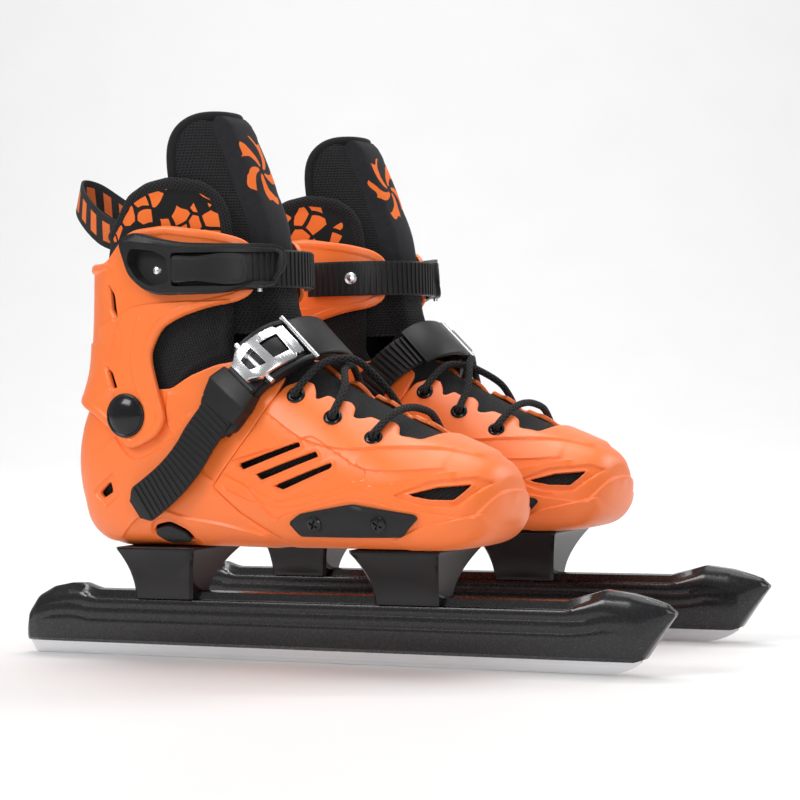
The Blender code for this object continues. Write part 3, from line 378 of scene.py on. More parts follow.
class Surface:
    """An even grid over the form: rows along its sections, and a share of the way round each."""

    def __init__(self, first, last, per_section, around):
        self.rows = np.linspace(first, last, int(round((last - first) * per_section)) + 1)
        t = np.linspace(0, 1, 160)
        quarter = 90 * (10 * t**3 - 15 * t**4 + 6 * t**5)  # closest together where the form turns fastest
        half = np.concatenate([quarter, 180 - quarter[-2::-1]])
        self.fine = np.concatenate([half, 360 - half[-2::-1]])
        ring = form(self.rows[:, None], self.fine[None, :])
        steps = np.linalg.norm(np.diff(ring, axis=1), axis=2)
        length = np.concatenate([np.zeros((len(ring), 1)), np.cumsum(steps, axis=1)], axis=1)
        self.girth = length[:, -1]
        self.share = length / np.maximum(self.girth, 1e-6)[:, None]
        if self.girth[0] < 1e-6:
            self.share[0] = self.share[1]
        side = ring[:, len(quarter)]
        self.travel = np.concatenate([[0], np.cumsum(np.linalg.norm(np.diff(side, axis=0), axis=1))])
        self.around = around

    def degrees(self, s, v):
        at = np.clip((s - self.rows[0]) / (self.rows[1] - self.rows[0]), 0, len(self.rows) - 1.0001)
        row = np.floor(at).astype(int)
        result = np.empty(len(s))
        for k in np.unique(row):
            pick = row == k
            low = np.interp(v[pick], self.share[k], self.fine)
            high = np.interp(v[pick], self.share[k + 1], self.fine)
            result[pick] = low + (high - low) * (at[pick] - k)
        return result

    def cut(self, field, levels, features=()):
        """(s, v) of each vertex, its field, and the faces, of the part where the field is negative.

        Rows of edges are laid along both sides of each feature's step, so that it stays crisp.
        """
        s, v = np.meshgrid(self.rows, np.linspace(0, 1, self.around + 1), indexing="ij")
        s, v = s.ravel(), v.ravel()
        turn = self.degrees(s, v)
        value = field(form(s, turn), normal(s, turn), s, turn)
        shape = bmesh.new()
        rows, columns = len(self.rows), self.around + 1
        grid = value.reshape(rows, columns)
        near = np.minimum.reduce([grid[:-1, :-1], grid[1:, :-1], grid[:-1, 1:], grid[1:, 1:]]) < 0
        used = {}

        def vertex(k):
            if k not in used:
                used[k] = shape.verts.new((s[k] * SECTION_SPAN, v[k] * GIRTH_SPAN, value[k]))
            return used[k]

        for i, j in zip(*np.nonzero(near)):
            k = i * columns + j
            shape.faces.new([vertex(k), vertex(k + 1), vertex(k + columns + 1), vertex(k + columns)])
        for n, level in enumerate([0.0] + [-x for x in levels]):
            geometry = shape.verts[:] + shape.edges[:] + shape.faces[:]
            bmesh.ops.bisect_plane(shape, geom=geometry, dist=MERGE, plane_co=(0, 0, level),
                                   plane_no=(0, 0, 1), clear_outer=n == 0)  # fmt: skip
        kept = shape.verts.layers.float.new("field")
        for vert in shape.verts:
            vert[kept] = vert.co.z

        def read():
            shape.verts.index_update()
            places = np.array([vert.co[:] for vert in shape.verts])
            return places[:, 0] / SECTION_SPAN, np.clip(places[:, 1] / GIRTH_SPAN, 0, 1)

        for feature in features:
            s, v = read()
            turn = self.degrees(s, v)
            away = feature.field(form(s, turn), normal(s, turn))
            for vert, z in zip(shape.verts, away):
                vert.co.z = z
            for level in (-feature.width, feature.width):
                faces = [face for face in shape.faces
                         if min(abs(vert.co.z) for vert in face.verts) < NEAR_STEP]  # fmt: skip
                geometry = {part for face in faces for part in (face, *face.edges, *face.verts)}
                bmesh.ops.bisect_plane(shape, geom=list(geometry), dist=MERGE, plane_co=(0, 0, level),
                                       plane_no=(0, 0, 1))  # fmt: skip
        s, v = read()
        value = np.array([vert[kept] for vert in shape.verts])
        faces = [[vert.index for vert in face.verts] for face in shape.faces]
        shape.free()
        return s, v, value, faces


def cut_shell(name, surface, field, outer, inner, radius=0.8, relief=None, features=()):
    """A wall between two offsets from the form, with rounded edges and raised or sunk detail."""
    levels = [radius * 0.12, radius * 0.4, radius]
    s, v, value, faces = surface.cut(field, levels, features)
    turn = surface.degrees(s, v)
    points, out = form(s, turn), normal(s, turn)
    exact = -field(points, out, s, turn)
    depth = np.where(value > -MERGE * 1.03, 0, np.maximum(exact, 0))
    # One index for both sides of the seam, and one for the closed toe.
    same = np.arange(len(s))
    low, high = np.nonzero(v < 1e-7)[0], np.nonzero(v > 1 - 1e-7)[0]
    for k in high:
        if len(low):
            same[k] = low[np.argmin(np.abs(s[low] - s[k]))]
    tip = np.nonzero(s < -0.9999)[0]
    same[tip] = tip[0] if len(tip) else 0
    out[tip] = (1, 0, 0)
    kept, renamed = np.unique(same, return_inverse=True)
    travel = np.interp(s, surface.rows, surface.travel)
    girth = np.interp(s, surface.rows, surface.girth)
    places = np.stack([travel, (v - 0.5) * girth], axis=1) * 0.01
    skin, corners = [], []
    for face in faces:
        ring = [(renamed[k], places[k]) for k in face]
        ring = [pair for n, pair in enumerate(ring) if pair[0] != ring[n - 1][0]]
        if len(ring) > 2:
            skin.append([pair[0] for pair in ring])
            corners.append([pair[1] for pair in ring])
    points, out, depth = points[kept], out[kept], depth[kept]
    s, turn, places = s[kept], turn[kept], places[kept]
    rise = relief(points, out, s, turn, depth) if relief else np.zeros(len(s))
    rise = rise + sum(feature.rise(points, out) for feature in features)
    high_edge = outer(s, turn) if callable(outer) else np.full(len(s), float(outer))
    low_edge = inner(s, turn) if callable(inner) else np.full(len(s), float(inner))
    soft = radius - np.minimum(depth, radius)
    drop = radius - np.sqrt(np.maximum(radius**2 - soft**2, 0))
    outside = points + out * (high_edge - drop + rise * smoothstep(0, radius * 2, depth))[:, None]
    under = min(radius, 0.5)
    soft = under - np.minimum(depth, under)
    inside_wall = points + out * (low_edge + under - np.sqrt(np.maximum(under**2 - soft**2, 0)))[:, None]
    count = len(points)
    edges = {}
    for face in skin:
        for a, b in zip(face, face[1:] + face[:1]):
            if edges.pop((b, a), None) is None:
                edges[(a, b)] = True
    all_faces = [*skin, *[[k + count for k in reversed(face)] for face in skin]]
    all_corners = [*corners, *[list(reversed(ring)) for ring in corners]]
    for a, b in edges:
        all_faces.append([b, a, a + count, b + count])
        all_corners.append([places[b], places[a], places[a], places[b]])
    uv = [pair for ring in all_corners for pair in ring]
    piece = template(name, np.concatenate([outside, inside_wall]), all_faces, uv,
                     rim=np.tile(depth, 2), inner=np.repeat([0.0, 1.0], count))  # fmt: skip
    if signed_volume(piece) < 0:
        piece.data.flip_normals()
    return piece


def signed_volume(piece):
    shape = bmesh.new()
    shape.from_mesh(piece.data)
    volume = shape.calc_volume(signed=True)
    shape.free()
    return volume


class Crease:
    """A step that rises on one side of a line in side view and melts away beyond it."""

    def __init__(self, line, height, width=0.4, fade=9.0, ends=0.08, up=True):
        corners = np.asarray(line, float) + (0, LIFT)
        self.line = rows_at(corners, np.linspace(0, len(corners) - 1, (len(corners) - 1) * 5 + 1))
        self.height, self.width, self.fade, self.ends, self.up = height, width, fade, ends, up

    def measure(self, points):
        away, _, along, turn = nearest_on(self.line, False, points[:, 0], points[:, 2])
        return away * turn * (1 if self.up else -1), along

    def field(self, points, out):
        signed, along = self.measure(points)
        return np.where((along > 0) & (along < 1), signed, 1e3)

    def rise(self, points, out):
        signed, along = self.measure(points)
        tips = smoothstep(0, self.ends, along) * smoothstep(0, self.ends, 1 - along)
        step = smoothstep(-self.width, self.width, signed) * np.exp(-np.maximum(signed, 0) / self.fade)
        return self.height * step * tips


class Panel:
    """A raised or sunk area inside an outline, on both sides of the boot or one."""

    def __init__(self, outline, height, width=0.4, radius=2.5, side=0):
        self.outline, self.radius, self.side = outline, radius, side
        self.height, self.width = height, width

    def field(self, points, out):
        return either_side(self.outline, points, out, self.side, self.radius)

    def rise(self, points, out):
        return self.height * (1 - smoothstep(-self.width, self.width, self.field(points, out)))


class Border(Panel):
    """A raised band that follows the inside of an outline, fading towards the back."""

    band = 4.6
    fade = (-142, -124)

    def field(self, points, out):
        return super().field(points, out) + self.band

    def rise(self, points, out):
        away = self.field(points, out)
        return self.height * smoothstep(-self.width, self.width, away) * smoothstep(*self.fade, points[:, 0])


# ---------------------------------------------------------------- materials
class Wires:
    """Short ways to add and join shader nodes."""

    def __init__(self, tree):
        self.tree = tree

    def node(self, kind, **settings):
        node = self.tree.nodes.new(kind)
        for key, value in settings.items():
            if key in node.inputs:
                node.inputs[key].default_value = value
            else:
                setattr(node, key, value)
        return node

    def link(self, source, target):
        self.tree.links.new(source, target)

    def maths(self, operation, a, b=0.0, c=0.0, clamp=False):
        node = self.node("ShaderNodeMath", operation=operation, use_clamp=clamp)
        for socket, value in zip(node.inputs, (a, b, c)):
            if isinstance(value, (int, float)):
                socket.default_value = value
            else:
                self.link(value, socket)
        return node.outputs[0]

    def object_place(self, scale=(1, 1, 1), rotation=(0, 0, 0)):
        place = self.node("ShaderNodeMapping")
        place.inputs["Scale"].default_value = scale
        place.inputs["Rotation"].default_value = rotation
        self.link(self.node("ShaderNodeTexCoord").outputs["Object"], place.inputs["Vector"])
        return place.outputs[0]

    def surface_place(self):
        return self.node("ShaderNodeUVMap", uv_map="surface").outputs[0]

    def first_channel(self, colour):
        node = self.node("ShaderNodeSeparateColor")
        self.link(colour, node.inputs[0])
        return node.outputs[0]

    def noise(self, vector, scale, detail=3.0, roughness=0.5):
        node = self.node("ShaderNodeTexNoise", Scale=scale, Detail=detail, Roughness=roughness)
        self.link(vector, node.inputs["Vector"])
        return node.outputs["Fac"]

    def cells(self, vector, scale, feature="F1", output="Distance", randomness=1.0):
        node = self.node("ShaderNodeTexVoronoi", feature=feature, Scale=scale, Randomness=randomness)
        self.link(vector, node.inputs["Vector"])
        return node.outputs[output]

    def ramp(self, value, *stops):
        node = self.node("ShaderNodeValToRGB")
        ramp = node.color_ramp
        while len(ramp.elements) < len(stops):
            ramp.elements.new(0.5)
        for element, (at, colour) in zip(ramp.elements, stops):
            element.position = at
            element.color = (*colour, 1)
        self.link(value, node.inputs[0])
        return node.outputs[0]

    def spread(self, value, low, high):
        """A value from 0 to 1 made one from low to high."""
        node = self.node("ShaderNodeMapRange")
        self.link(value, node.inputs["Value"])
        node.inputs["To Min"].default_value, node.inputs["To Max"].default_value = low, high
        return node.outputs[0]

    def mix(self, share, first, second):
        node = self.node("ShaderNodeMix", data_type="RGBA")
        for socket, value in ((node.inputs[0], share), (node.inputs[6], first), (node.inputs[7], second)):
            if isinstance(value, (int, float)):
                socket.default_value = value
            elif isinstance(value, tuple):
                socket.default_value = (*value, 1)
            else:
                self.link(value, socket)
        return node.outputs[2]

    def attribute(self, name):
        return self.node("ShaderNodeAttribute", attribute_name=name).outputs["Fac"]

    def bump(self, height, strength, distance, under=None):
        node = self.node("ShaderNodeBump", Strength=strength, Distance=distance)
        self.link(height, node.inputs["Height"])
        if under is not None:
            self.link(under, node.inputs["Normal"])
        return node.outputs[0]


def scaled(colour, share):
    return tuple(channel * share for channel in colour)


def finish_orange(w, shader):
    """Satin moulded plastic: flow marks, a fine grain and a painted highlight, broken up by noise, along the
    rounded rims.
    """
    colour = tuple(sizes().shell_colour)
    place = w.object_place()
    cloud = w.noise(place, 14, 2)
    # Painted highlight: paler orange within about 1.2 mm of each piece's rim, where the rounded edge catches the
    # light, broken up by noise.
    rim = w.maths("SMOOTH_MIN", w.attribute("rim"), 3.0, 0.5)
    painted_rim_highlight = w.maths("MULTIPLY", w.maths("SUBTRACT", 1.0, w.maths("DIVIDE", rim, 1.2), clamp=True),
                   w.spread(w.noise(place, 160, 4), -0.6, 1.1), clamp=True)  # fmt: skip
    base = w.mix(cloud, scaled(colour, 0.93), colour)
    # The lighter orange of the painted highlight on the rims.
    rim_highlight_colour = (colour[0], colour[1] * 1.5, colour[2] * 2.6)
    w.link(w.mix(w.maths("MULTIPLY", painted_rim_highlight, 0.35), base, rim_highlight_colour), shader.inputs["Base Color"])
    w.link(w.spread(w.noise(place, 45, 4), 0.30, 0.44), shader.inputs["Roughness"])
    grain = w.bump(w.noise(place, 2600, 2), 0.10, 0.0002)
    flow = w.bump(w.noise(w.object_place((1, 1, 2.4)), 30, 2), 0.05, 0.004, grain)
    w.link(flow, shader.inputs["Normal"])
    shader.inputs["Specular IOR Level"].default_value = 0.5
    shader.inputs["Subsurface Weight"].default_value = 0.05
    shader.inputs["Subsurface Scale"].default_value = 0.002


def finish_black_plastic(w, shader):
    """Matte moulded nylon with a spark-eroded grain."""
    place = w.object_place()
    cloud = w.noise(place, 60, 3)
    w.link(w.mix(cloud, (0.009, 0.009, 0.010), (0.017, 0.017, 0.018)), shader.inputs["Base Color"])
    w.link(w.spread(w.noise(place, 240, 4), 0.34, 0.50), shader.inputs["Roughness"])
    shader.inputs["Specular IOR Level"].default_value = 0.3
    w.link(w.bump(w.noise(place, 3400, 2), 0.16, 0.0002), shader.inputs["Normal"])


def finish_gloss_black(w, shader):
    """Polished black paint with a faint ripple and dust-fine scratches."""
    place = w.object_place()
    cloud = w.noise(place, 20, 2)
    w.link(w.mix(cloud, (0.005, 0.005, 0.006), (0.010, 0.010, 0.012)), shader.inputs["Base Color"])
    w.link(w.spread(w.noise(w.object_place((1, 1, 6)), 300, 5), 0.10, 0.24), shader.inputs["Roughness"])
    w.link(w.bump(w.noise(place, 90, 2), 0.05, 0.001), shader.inputs["Normal"])
    shader.inputs["Specular IOR Level"].default_value = 0.4


def finish_lacquer(w, shader):
    """Black lacquer with fine metal flake under a clear coat."""
    place = w.object_place()
    flake = w.cells(place, 2600, output="Color")
    bright = w.maths("GREATER_THAN", w.first_channel(flake), 0.92)
    w.link(w.mix(bright, (0.006, 0.006, 0.007), (0.06, 0.06, 0.07)), shader.inputs["Base Color"])
    w.link(w.maths("MULTIPLY", bright, 0.8), shader.inputs["Metallic"])
    w.link(w.spread(w.noise(place, 500, 3), 0.20, 0.34), shader.inputs["Roughness"])
    w.link(w.bump(w.noise(place, 70, 2), 0.05, 0.0015), shader.inputs["Normal"])
    shader.inputs["Specular IOR Level"].default_value = 0.4
    shader.inputs["Coat Weight"].default_value = 0.3
    shader.inputs["Coat Roughness"].default_value = 0.08


def finish_runner(w, shader):
    """Ground steel: long grinding lines."""
    lines = w.noise(w.object_place((3, 900, 900)), 1, 5, 0.6)
    w.link(w.mix(lines, (0.62, 0.63, 0.65), (0.86, 0.87, 0.89)), shader.inputs["Base Color"])
    w.link(w.spread(lines, 0.22, 0.42), shader.inputs["Roughness"])
    w.link(w.bump(lines, 0.12, 0.0003), shader.inputs["Normal"])
    shader.inputs["Metallic"].default_value = 1.0
    shader.inputs["Anisotropic"].default_value = 0.4


def finish_bolt(w, shader):
    """Zinc-plated steel, a little clouded."""
    place = w.object_place()
    w.link(w.mix(w.noise(place, 180, 4), (0.50, 0.50, 0.51), (0.70, 0.70, 0.72)), shader.inputs["Base Color"])
    w.link(w.spread(w.noise(place, 400, 3), 0.22, 0.40), shader.inputs["Roughness"])
    w.link(w.bump(w.noise(place, 900, 3), 0.1, 0.0002), shader.inputs["Normal"])
    shader.inputs["Metallic"].default_value = 1.0


def finish_chrome(w, shader):
    """Polished chrome plating with hairlines from use."""
    place = w.object_place((1, 1, 8), (0.4, 0.2, 0.9))
    cloud = w.noise(w.object_place(), 40, 2)
    w.link(w.mix(cloud, (0.72, 0.73, 0.75), (0.88, 0.88, 0.90)), shader.inputs["Base Color"])
    w.link(w.spread(w.noise(place, 420, 5), 0.20, 0.30), shader.inputs["Roughness"])
    shader.inputs["Metallic"].default_value = 1.0


def weave(w, place, pitch, pitch_z=None):
    """Height of a knitted mesh: small round holes set in staggered rows."""
    holes = w.node("ShaderNodeMapping")
    holes.inputs["Scale"].default_value = (1 / pitch, 1 / (pitch_z or pitch), 1)
    w.link(place, holes.inputs["Vector"])
    split = w.node("ShaderNodeSeparateXYZ")
    w.link(holes.outputs[0], split.inputs[0])
    row = w.maths("FLOOR", split.outputs[1])
    shift = w.maths("MULTIPLY", w.maths("MODULO", row, 2.0), 0.5)
    u = w.maths("SUBTRACT", w.maths("FRACT", w.maths("ADD", split.outputs[0], shift)), 0.5)
    v = w.maths("SUBTRACT", w.maths("FRACT", split.outputs[1]), 0.5)
    return w.maths("SQRT", w.maths("ADD", w.maths("MULTIPLY", u, u), w.maths("MULTIPLY", v, v)))


def finish_mesh_fabric(w, shader):
    """Padded spacer mesh: staggered open cells over a darker foam, with a soft sheen."""
    place = w.surface_place()
    cell = weave(w, place, 0.022, 0.016)
    fuzz = w.noise(w.object_place(), 1500, 3)
    shade = w.ramp(cell, (0.18, (0.004, 0.004, 0.0045)), (0.42, (0.020, 0.020, 0.022)))
    w.link(w.mix(w.maths("MULTIPLY", fuzz, 0.35), shade, (0.030, 0.030, 0.032)), shader.inputs["Base Color"])
    height = w.maths("MULTIPLY_ADD", fuzz, 0.25, w.ramp(cell, (0.15, (0, 0, 0)), (0.5, (1, 1, 1))))
    w.link(w.bump(height, 0.9, 0.0006), shader.inputs["Normal"])
    w.link(w.spread(fuzz, 0.75, 0.95), shader.inputs["Roughness"])
    shader.inputs["Specular IOR Level"].default_value = 0.15
    shader.inputs["Sheen Weight"].default_value = 0.04
    shader.inputs["Sheen Roughness"].default_value = 0.5


def finish_pile(w, shader):
    """Brushed nylon edge binding with a fine nap."""
    place = w.object_place()
    nap = w.noise(place, 1900, 4, 0.7)
    w.link(w.mix(nap, (0.006, 0.006, 0.007), (0.028, 0.028, 0.030)), shader.inputs["Base Color"])
    w.link(w.bump(nap, 0.7, 0.0005), shader.inputs["Normal"])
    w.link(w.spread(nap, 0.8, 1.0), shader.inputs["Roughness"])
    shader.inputs["Specular IOR Level"].default_value = 0.15
    shader.inputs["Sheen Weight"].default_value = 0.06
    shader.inputs["Sheen Roughness"].default_value = 0.4


def finish_lace(w, shader):
    """Round braid: two sets of yarns crossing round the cord."""
    split = w.node("ShaderNodeSeparateXYZ")
    w.link(w.surface_place(), split.inputs[0])
    length, turn = split.outputs[0], split.outputs[1]
    forward, sideways = w.maths("MULTIPLY", length, 160.0), w.maths("MULTIPLY", turn, 37.7)
    one = w.maths("SINE", w.maths("ADD", forward, sideways))
    two = w.maths("SINE", w.maths("SUBTRACT", forward, sideways))
    yarn = w.spread(w.maths("MAXIMUM", one, two), 0.0, 1.0)
    fuzz = w.noise(w.object_place(), 3000, 3)
    w.link(w.mix(yarn, (0.004, 0.004, 0.004), (0.030, 0.030, 0.031)), shader.inputs["Base Color"])
    w.link(w.bump(w.maths("MULTIPLY_ADD", fuzz, 0.3, yarn), 0.9, 0.0005), shader.inputs["Normal"])
    w.link(w.spread(fuzz, 0.7, 0.95), shader.inputs["Roughness"])
    shader.inputs["Specular IOR Level"].default_value = 0.2
    shader.inputs["Sheen Weight"].default_value = 0.04


PRINT_SHADE = 0.85  # the prints are a little darker than the shells
# The collar's print: height, inset from the rim, rear end.
PRINT_LOW, PRINT_INSET, PRINT_BACK = 233.3, 6.7, -115.5
PANEL_LOW, PANEL_HALF_TURN = 222, 27  # the tongue's smooth panel: height, and degrees each way
BADGE_HEIGHT, BADGE_RADIUS = 0.70, 0.130  # on the tongue's surface, in units of 100 mm


def outside_above(w, low):
    """One on the outward side of a piece above this height, nought elsewhere."""
    split = w.node("ShaderNodeSeparateXYZ")
    w.link(w.object_place(), split.inputs[0])
    above = w.maths("GREATER_THAN", split.outputs[2], low * MM)
    return w.maths("MULTIPLY", above, w.maths("LESS_THAN", w.attribute("inner"), 0.5)), split.outputs[0]


def splinters(w, place, scale):
    """An abstract print: curved splinters, on or off."""
    bend = w.node("ShaderNodeTexNoise", Scale=scale * 0.5, Detail=1.0)
    w.link(place, bend.inputs["Vector"])
    moved = w.node("ShaderNodeVectorMath", operation="MULTIPLY_ADD")
    w.link(bend.outputs["Color"], moved.inputs[0])
    moved.inputs[1].default_value = (0.9 / scale,) * 3
    w.link(place, moved.inputs[2])
    edge = w.cells(moved.outputs[0], scale, "DISTANCE_TO_EDGE")
    which = w.first_channel(w.cells(moved.outputs[0], scale, output="Color"))
    on = w.maths("GREATER_THAN", edge, 0.10)
    return w.maths("MULTIPLY", on, w.maths("GREATER_THAN", which, 0.30))


def smooth_over_mesh(w, shader, mask, colour, grain):
    """Turn the mesh fabric into a smooth printed cloth where the mask is one."""
    mesh_colour = shader.inputs["Base Color"].links[0].from_socket
    mesh_bump = shader.inputs["Normal"].links[0].from_socket
    w.link(w.mix(mask, mesh_colour, colour), shader.inputs["Base Color"])
    blend = w.node("ShaderNodeMix", data_type="VECTOR")
    w.link(mask, blend.inputs[0])
    w.link(mesh_bump, blend.inputs[4])
    w.link(w.bump(w.noise(w.object_place(), 2500, 2), grain, 0.0002), blend.inputs[5])
    w.link(blend.outputs[1], shader.inputs["Normal"])


def finish_collar(w, shader):
    """The liner: spacer mesh, with a smooth printed panel of splinters round the collar."""
    finish_mesh_fabric(w, shader)
    ink = splinters(w, w.surface_place(), 9.0)
    printed = w.mix(ink, (0.012, 0.012, 0.013), scaled(sizes().shell_colour, PRINT_SHADE))
    above, x = outside_above(w, PRINT_LOW)
    inset = w.maths("GREATER_THAN", w.attribute("rim"), PRINT_INSET)
    edged = w.maths("MULTIPLY", inset, w.maths("GREATER_THAN", x, PRINT_BACK * MM))
    smooth_over_mesh(w, shader, w.maths("MULTIPLY", above, edged), printed, 0.25)


def finish_tongue(w, shader):
    """The tongue: mesh flanks, a smooth centre panel and an abstract spiral badge."""
    finish_mesh_fabric(w, shader)
    split = w.node("ShaderNodeSeparateXYZ")
    w.link(w.surface_place(), split.inputs[0])
    u = split.outputs[0]
    v = w.maths("MULTIPLY", w.maths("SUBTRACT", split.outputs[1], BADGE_HEIGHT), 0.72)
    reach = w.maths("SQRT", w.maths("ADD", w.maths("MULTIPLY", u, u), w.maths("MULTIPLY", v, v)))
    angle = w.maths("ARCTAN2", v, u)
    swirl = w.maths("SINE", w.maths("ADD", w.maths("MULTIPLY", angle, 5.0), w.maths("MULTIPLY", reach, 34.0)))
    torn = w.spread(w.noise(w.surface_place(), 7, 2), -0.9, 0.9)
    rays = w.maths("GREATER_THAN", w.maths("ADD", swirl, torn), 0.1)
    scallop = w.maths("SINE", w.maths("MULTIPLY", angle, 9.0))
    ring = w.maths("LESS_THAN", reach, w.maths("MULTIPLY_ADD", scallop, 0.012, BADGE_RADIUS))
    heart = w.maths("GREATER_THAN", reach, 0.018)
    ink = w.maths("MULTIPLY", w.maths("MULTIPLY", rays, ring), heart)
    above, _ = outside_above(w, PANEL_LOW)
    smooth = w.maths("MULTIPLY", above, w.maths("LESS_THAN", w.attribute("flank"), PANEL_HALF_TURN))
    cloth = w.mix(w.noise(w.object_place(), 300, 3), (0.014, 0.014, 0.016), (0.026, 0.026, 0.029))
    panel_colour = w.mix(w.maths("MULTIPLY", ink, smooth), cloth, scaled(sizes().shell_colour, PRINT_SHADE))
    smooth_over_mesh(w, shader, smooth, panel_colour, 0.2)


def finish_webbing(w, shader):
    """Woven webbing with a printed row of slanted dashes."""
    split = w.node("ShaderNodeSeparateXYZ")
    w.link(w.surface_place(), split.inputs[0])
    length, across = split.outputs[0], split.outputs[1]
    rib = w.maths("SINE", w.maths("MULTIPLY", length, 480.0))
    yarn = w.maths("MULTIPLY", rib, w.maths("SINE", w.maths("MULTIPLY", across, 700.0)))
    dash = w.maths("FRACT", w.maths("MULTIPLY_ADD", across, 3.0, w.maths("MULTIPLY", length, 9.0)))
    off_centre = w.maths("SUBTRACT", w.maths("FRACT", w.maths("DIVIDE", across, 0.177)), 0.5)
    middle = w.maths("LESS_THAN", w.maths("ABSOLUTE", off_centre), 0.28)
    ink = w.maths("MULTIPLY", w.maths("GREATER_THAN", dash, 0.5), middle)
    cloth = w.mix(w.spread(yarn, 0, 1), (0.008, 0.008, 0.009), (0.026, 0.026, 0.028))
    w.link(w.mix(ink, cloth, scaled(sizes().shell_colour, 0.8)), shader.inputs["Base Color"])
    w.link(w.bump(yarn, 0.5, 0.0003), shader.inputs["Normal"])
    w.link(w.spread(w.noise(w.object_place(), 600, 2), 0.7, 0.9), shader.inputs["Roughness"])


def finish_floor(w, shader):
    """A matte white studio sweep."""
    cloud = w.noise(w.object_place(), 6, 2)
    w.link(w.mix(cloud, (0.80, 0.80, 0.80), (0.83, 0.83, 0.83)), shader.inputs["Base Color"])
    w.link(w.spread(w.noise(w.object_place(), 40, 2), 0.55, 0.65), shader.inputs["Roughness"])


FINISHES = {
    "moulded_orange": finish_orange,
    "matte_nylon": finish_black_plastic,
    "polished_black": finish_gloss_black,
    "flake_lacquer": finish_lacquer,
    "ground_steel": finish_runner,
    "plated_steel": finish_bolt,
    "polished_chrome": finish_chrome,
    "spacer_mesh": finish_mesh_fabric,
    "collar_cloth": finish_collar,
    "tongue_cloth": finish_tongue,
    "pile_binding": finish_pile,
    "braided_cord": finish_lace,
    "woven_webbing": finish_webbing,
    "studio_sweep": finish_floor,
}


def material(name):
    if name in bpy.data.materials:
        return bpy.data.materials[name]
    made = bpy.data.materials.new(name)
    made.use_nodes = True
    FINISHES[name](Wires(made.node_tree), made.node_tree.nodes["Principled BSDF"])
    return made


# ---------------------------------------------------------------- shells
def either_side(outline, points, out, side=0, radius=2.5):
    field = outline_field(outline, points, out, radius)
    return field if not side else np.where(points[:, 1] * side > 0, field, 1e3)


def edge_field(outline, side=0, radius=2.5, inset=0.0):
    """The field of a piece whose whole edge is one outline."""

    def field(points, out, s, turn):
        return either_side(outline, points, out, side, radius) + inset

    return field


def chamfer(drop, start, end):
    """A relief that slopes down by the drop at a piece's edge and leaves its middle flat."""

    def relief(points, out, s, turn, depth):
        return -drop * (1 - smoothstep(start, end, depth))

    return relief


def toe_field(points, out, s, turn):
    value = either_side(TOE_SHELL_EDGE, points, out, radius=1.6)
    for outline in (*SLOTS, TOE_WINDOW):
        value = np.maximum(value, -outline_field(outline, points, out, 0.7))
    for side in (1, -1):
        for x, z in EYELETS:
            value = np.maximum(value, -hole_field(x, z, EYELET_HOLE, points, side))
    return value


SIDE_PANEL = (
    (-44, 107), (-38, 104), (-5, 90), (36, 97), (50, 103), (50, 107), (43, 109.5), (22, 122), (17, 124.5),
    (-34, 112),
)  # fmt: skip
BUMPER_LINE = ((-27, 103), (-8, 82), (3, 84), (43, 92), (70, 87), (99, 82), (105, 84), (114, 98))
TOE_FEATURES = (
    Panel(SIDE_PANEL, -1.2, 0.5, 1.5),
    Crease(((-44, 99), (-4, 87), (38, 95), (79, 103), (95, 105.5)), 1.1, 0.4, 6.0, up=False),
    Crease(BUMPER_LINE, 1.4, 0.4, 12.0, 0.06, False),
    Crease(((-16, 140), (6, 126), (17, 121.5), (35, 117.5), (60, 117.5), (84, 116), (106, 110)), 1.4, 0.5, 8.0),
    Crease(((44, 110.5), (50, 107), (66, 106), (90, 106.5)), 1.0, 0.4, 6.0),
    Panel(TOE_WINDOW_RECESS, -1.2, 0.5, 1.5),
    Crease(((62, 70), (79, 77), (92, 80), (108, 84)), 1.1, 0.4, 9.0, up=False),
)


# x, z and tilt in radians
BUMPER_DENTS = ((84, 85.5, 0.3), (90, 87.5, 0.2), (96, 89, 0.1), (101, 91.5, 0.4), (105, 95, 0.6))


def toe_relief(points, out, s, turn, depth):
    """Small dents in the bumper."""
    dent = np.zeros(len(points))
    for x, z, tilt in BUMPER_DENTS:
        u = (points[:, 0] - x) * math.cos(tilt) + (points[:, 2] - z) * math.sin(tilt)
        v = (points[:, 2] - z) * math.cos(tilt) - (points[:, 0] - x) * math.sin(tilt)
        dent += np.exp(-((u / 2.6) ** 2) - (v / 0.7) ** 2)
    return -0.6 * dent


def heel_field(points, out, s, turn):
    value = either_side(HEEL_SHELL_EDGE, points, out, radius=3)
    value = np.maximum(value, -either_side(HEEL_VENT, points, out, radius=1.2))
    return np.maximum(value, -either_side(BUTTON_EDGE, points, out, 1) + BUTTON_GAP)


HEEL_FEATURES = (
    Crease(((-150, 78), (-123, 67), (-100, 80), (-83, 88), (-66, 96)), 1.1, 0.5, 12.0),
    Crease(((-97, 93), (-89, 89), (-68, 82), (-43, 78), (-11, 72)), 1.3, 0.5, 12.0, up=False),
    Crease(((-63, 110), (-43, 100), (-24, 86), (-10, 73)), 1.2, 0.4, 9.0, up=False),
    Crease(((-112, 128), (-96, 113), (-73, 124), (-60, 138)), 1.1, 0.5, 8.0, up=False),
    Crease(((-74, 150), (-73, 128), (-50, 106)), 0.9, 0.5, 9.0),
    Panel(BUTTON_RECESS, -1.2, 0.6, 4, 1),
    Panel(((-130, 95), (-112, 106), (-109.5, 93), (-121, 86)), -1.1, 0.6),
)


def cuff_outer(s, turn):
    back = np.maximum(np.cos(np.radians(turn)), 0) ** 2
    return CUFF_LOW + CUFF_WALL + CUFF_HEEL_ROOM * back


def cuff_inner(s, turn):
    return cuff_outer(s, turn) - CUFF_WALL


def cuff_field(points, out, s, turn):
    value = either_side(CUFF_EDGE, points, out, radius=5)
    for outline in (CUFF_NOTCH, CUFF_SLIT):
        value = np.maximum(value, -either_side(outline, points, out, radius=0.8))
    return value


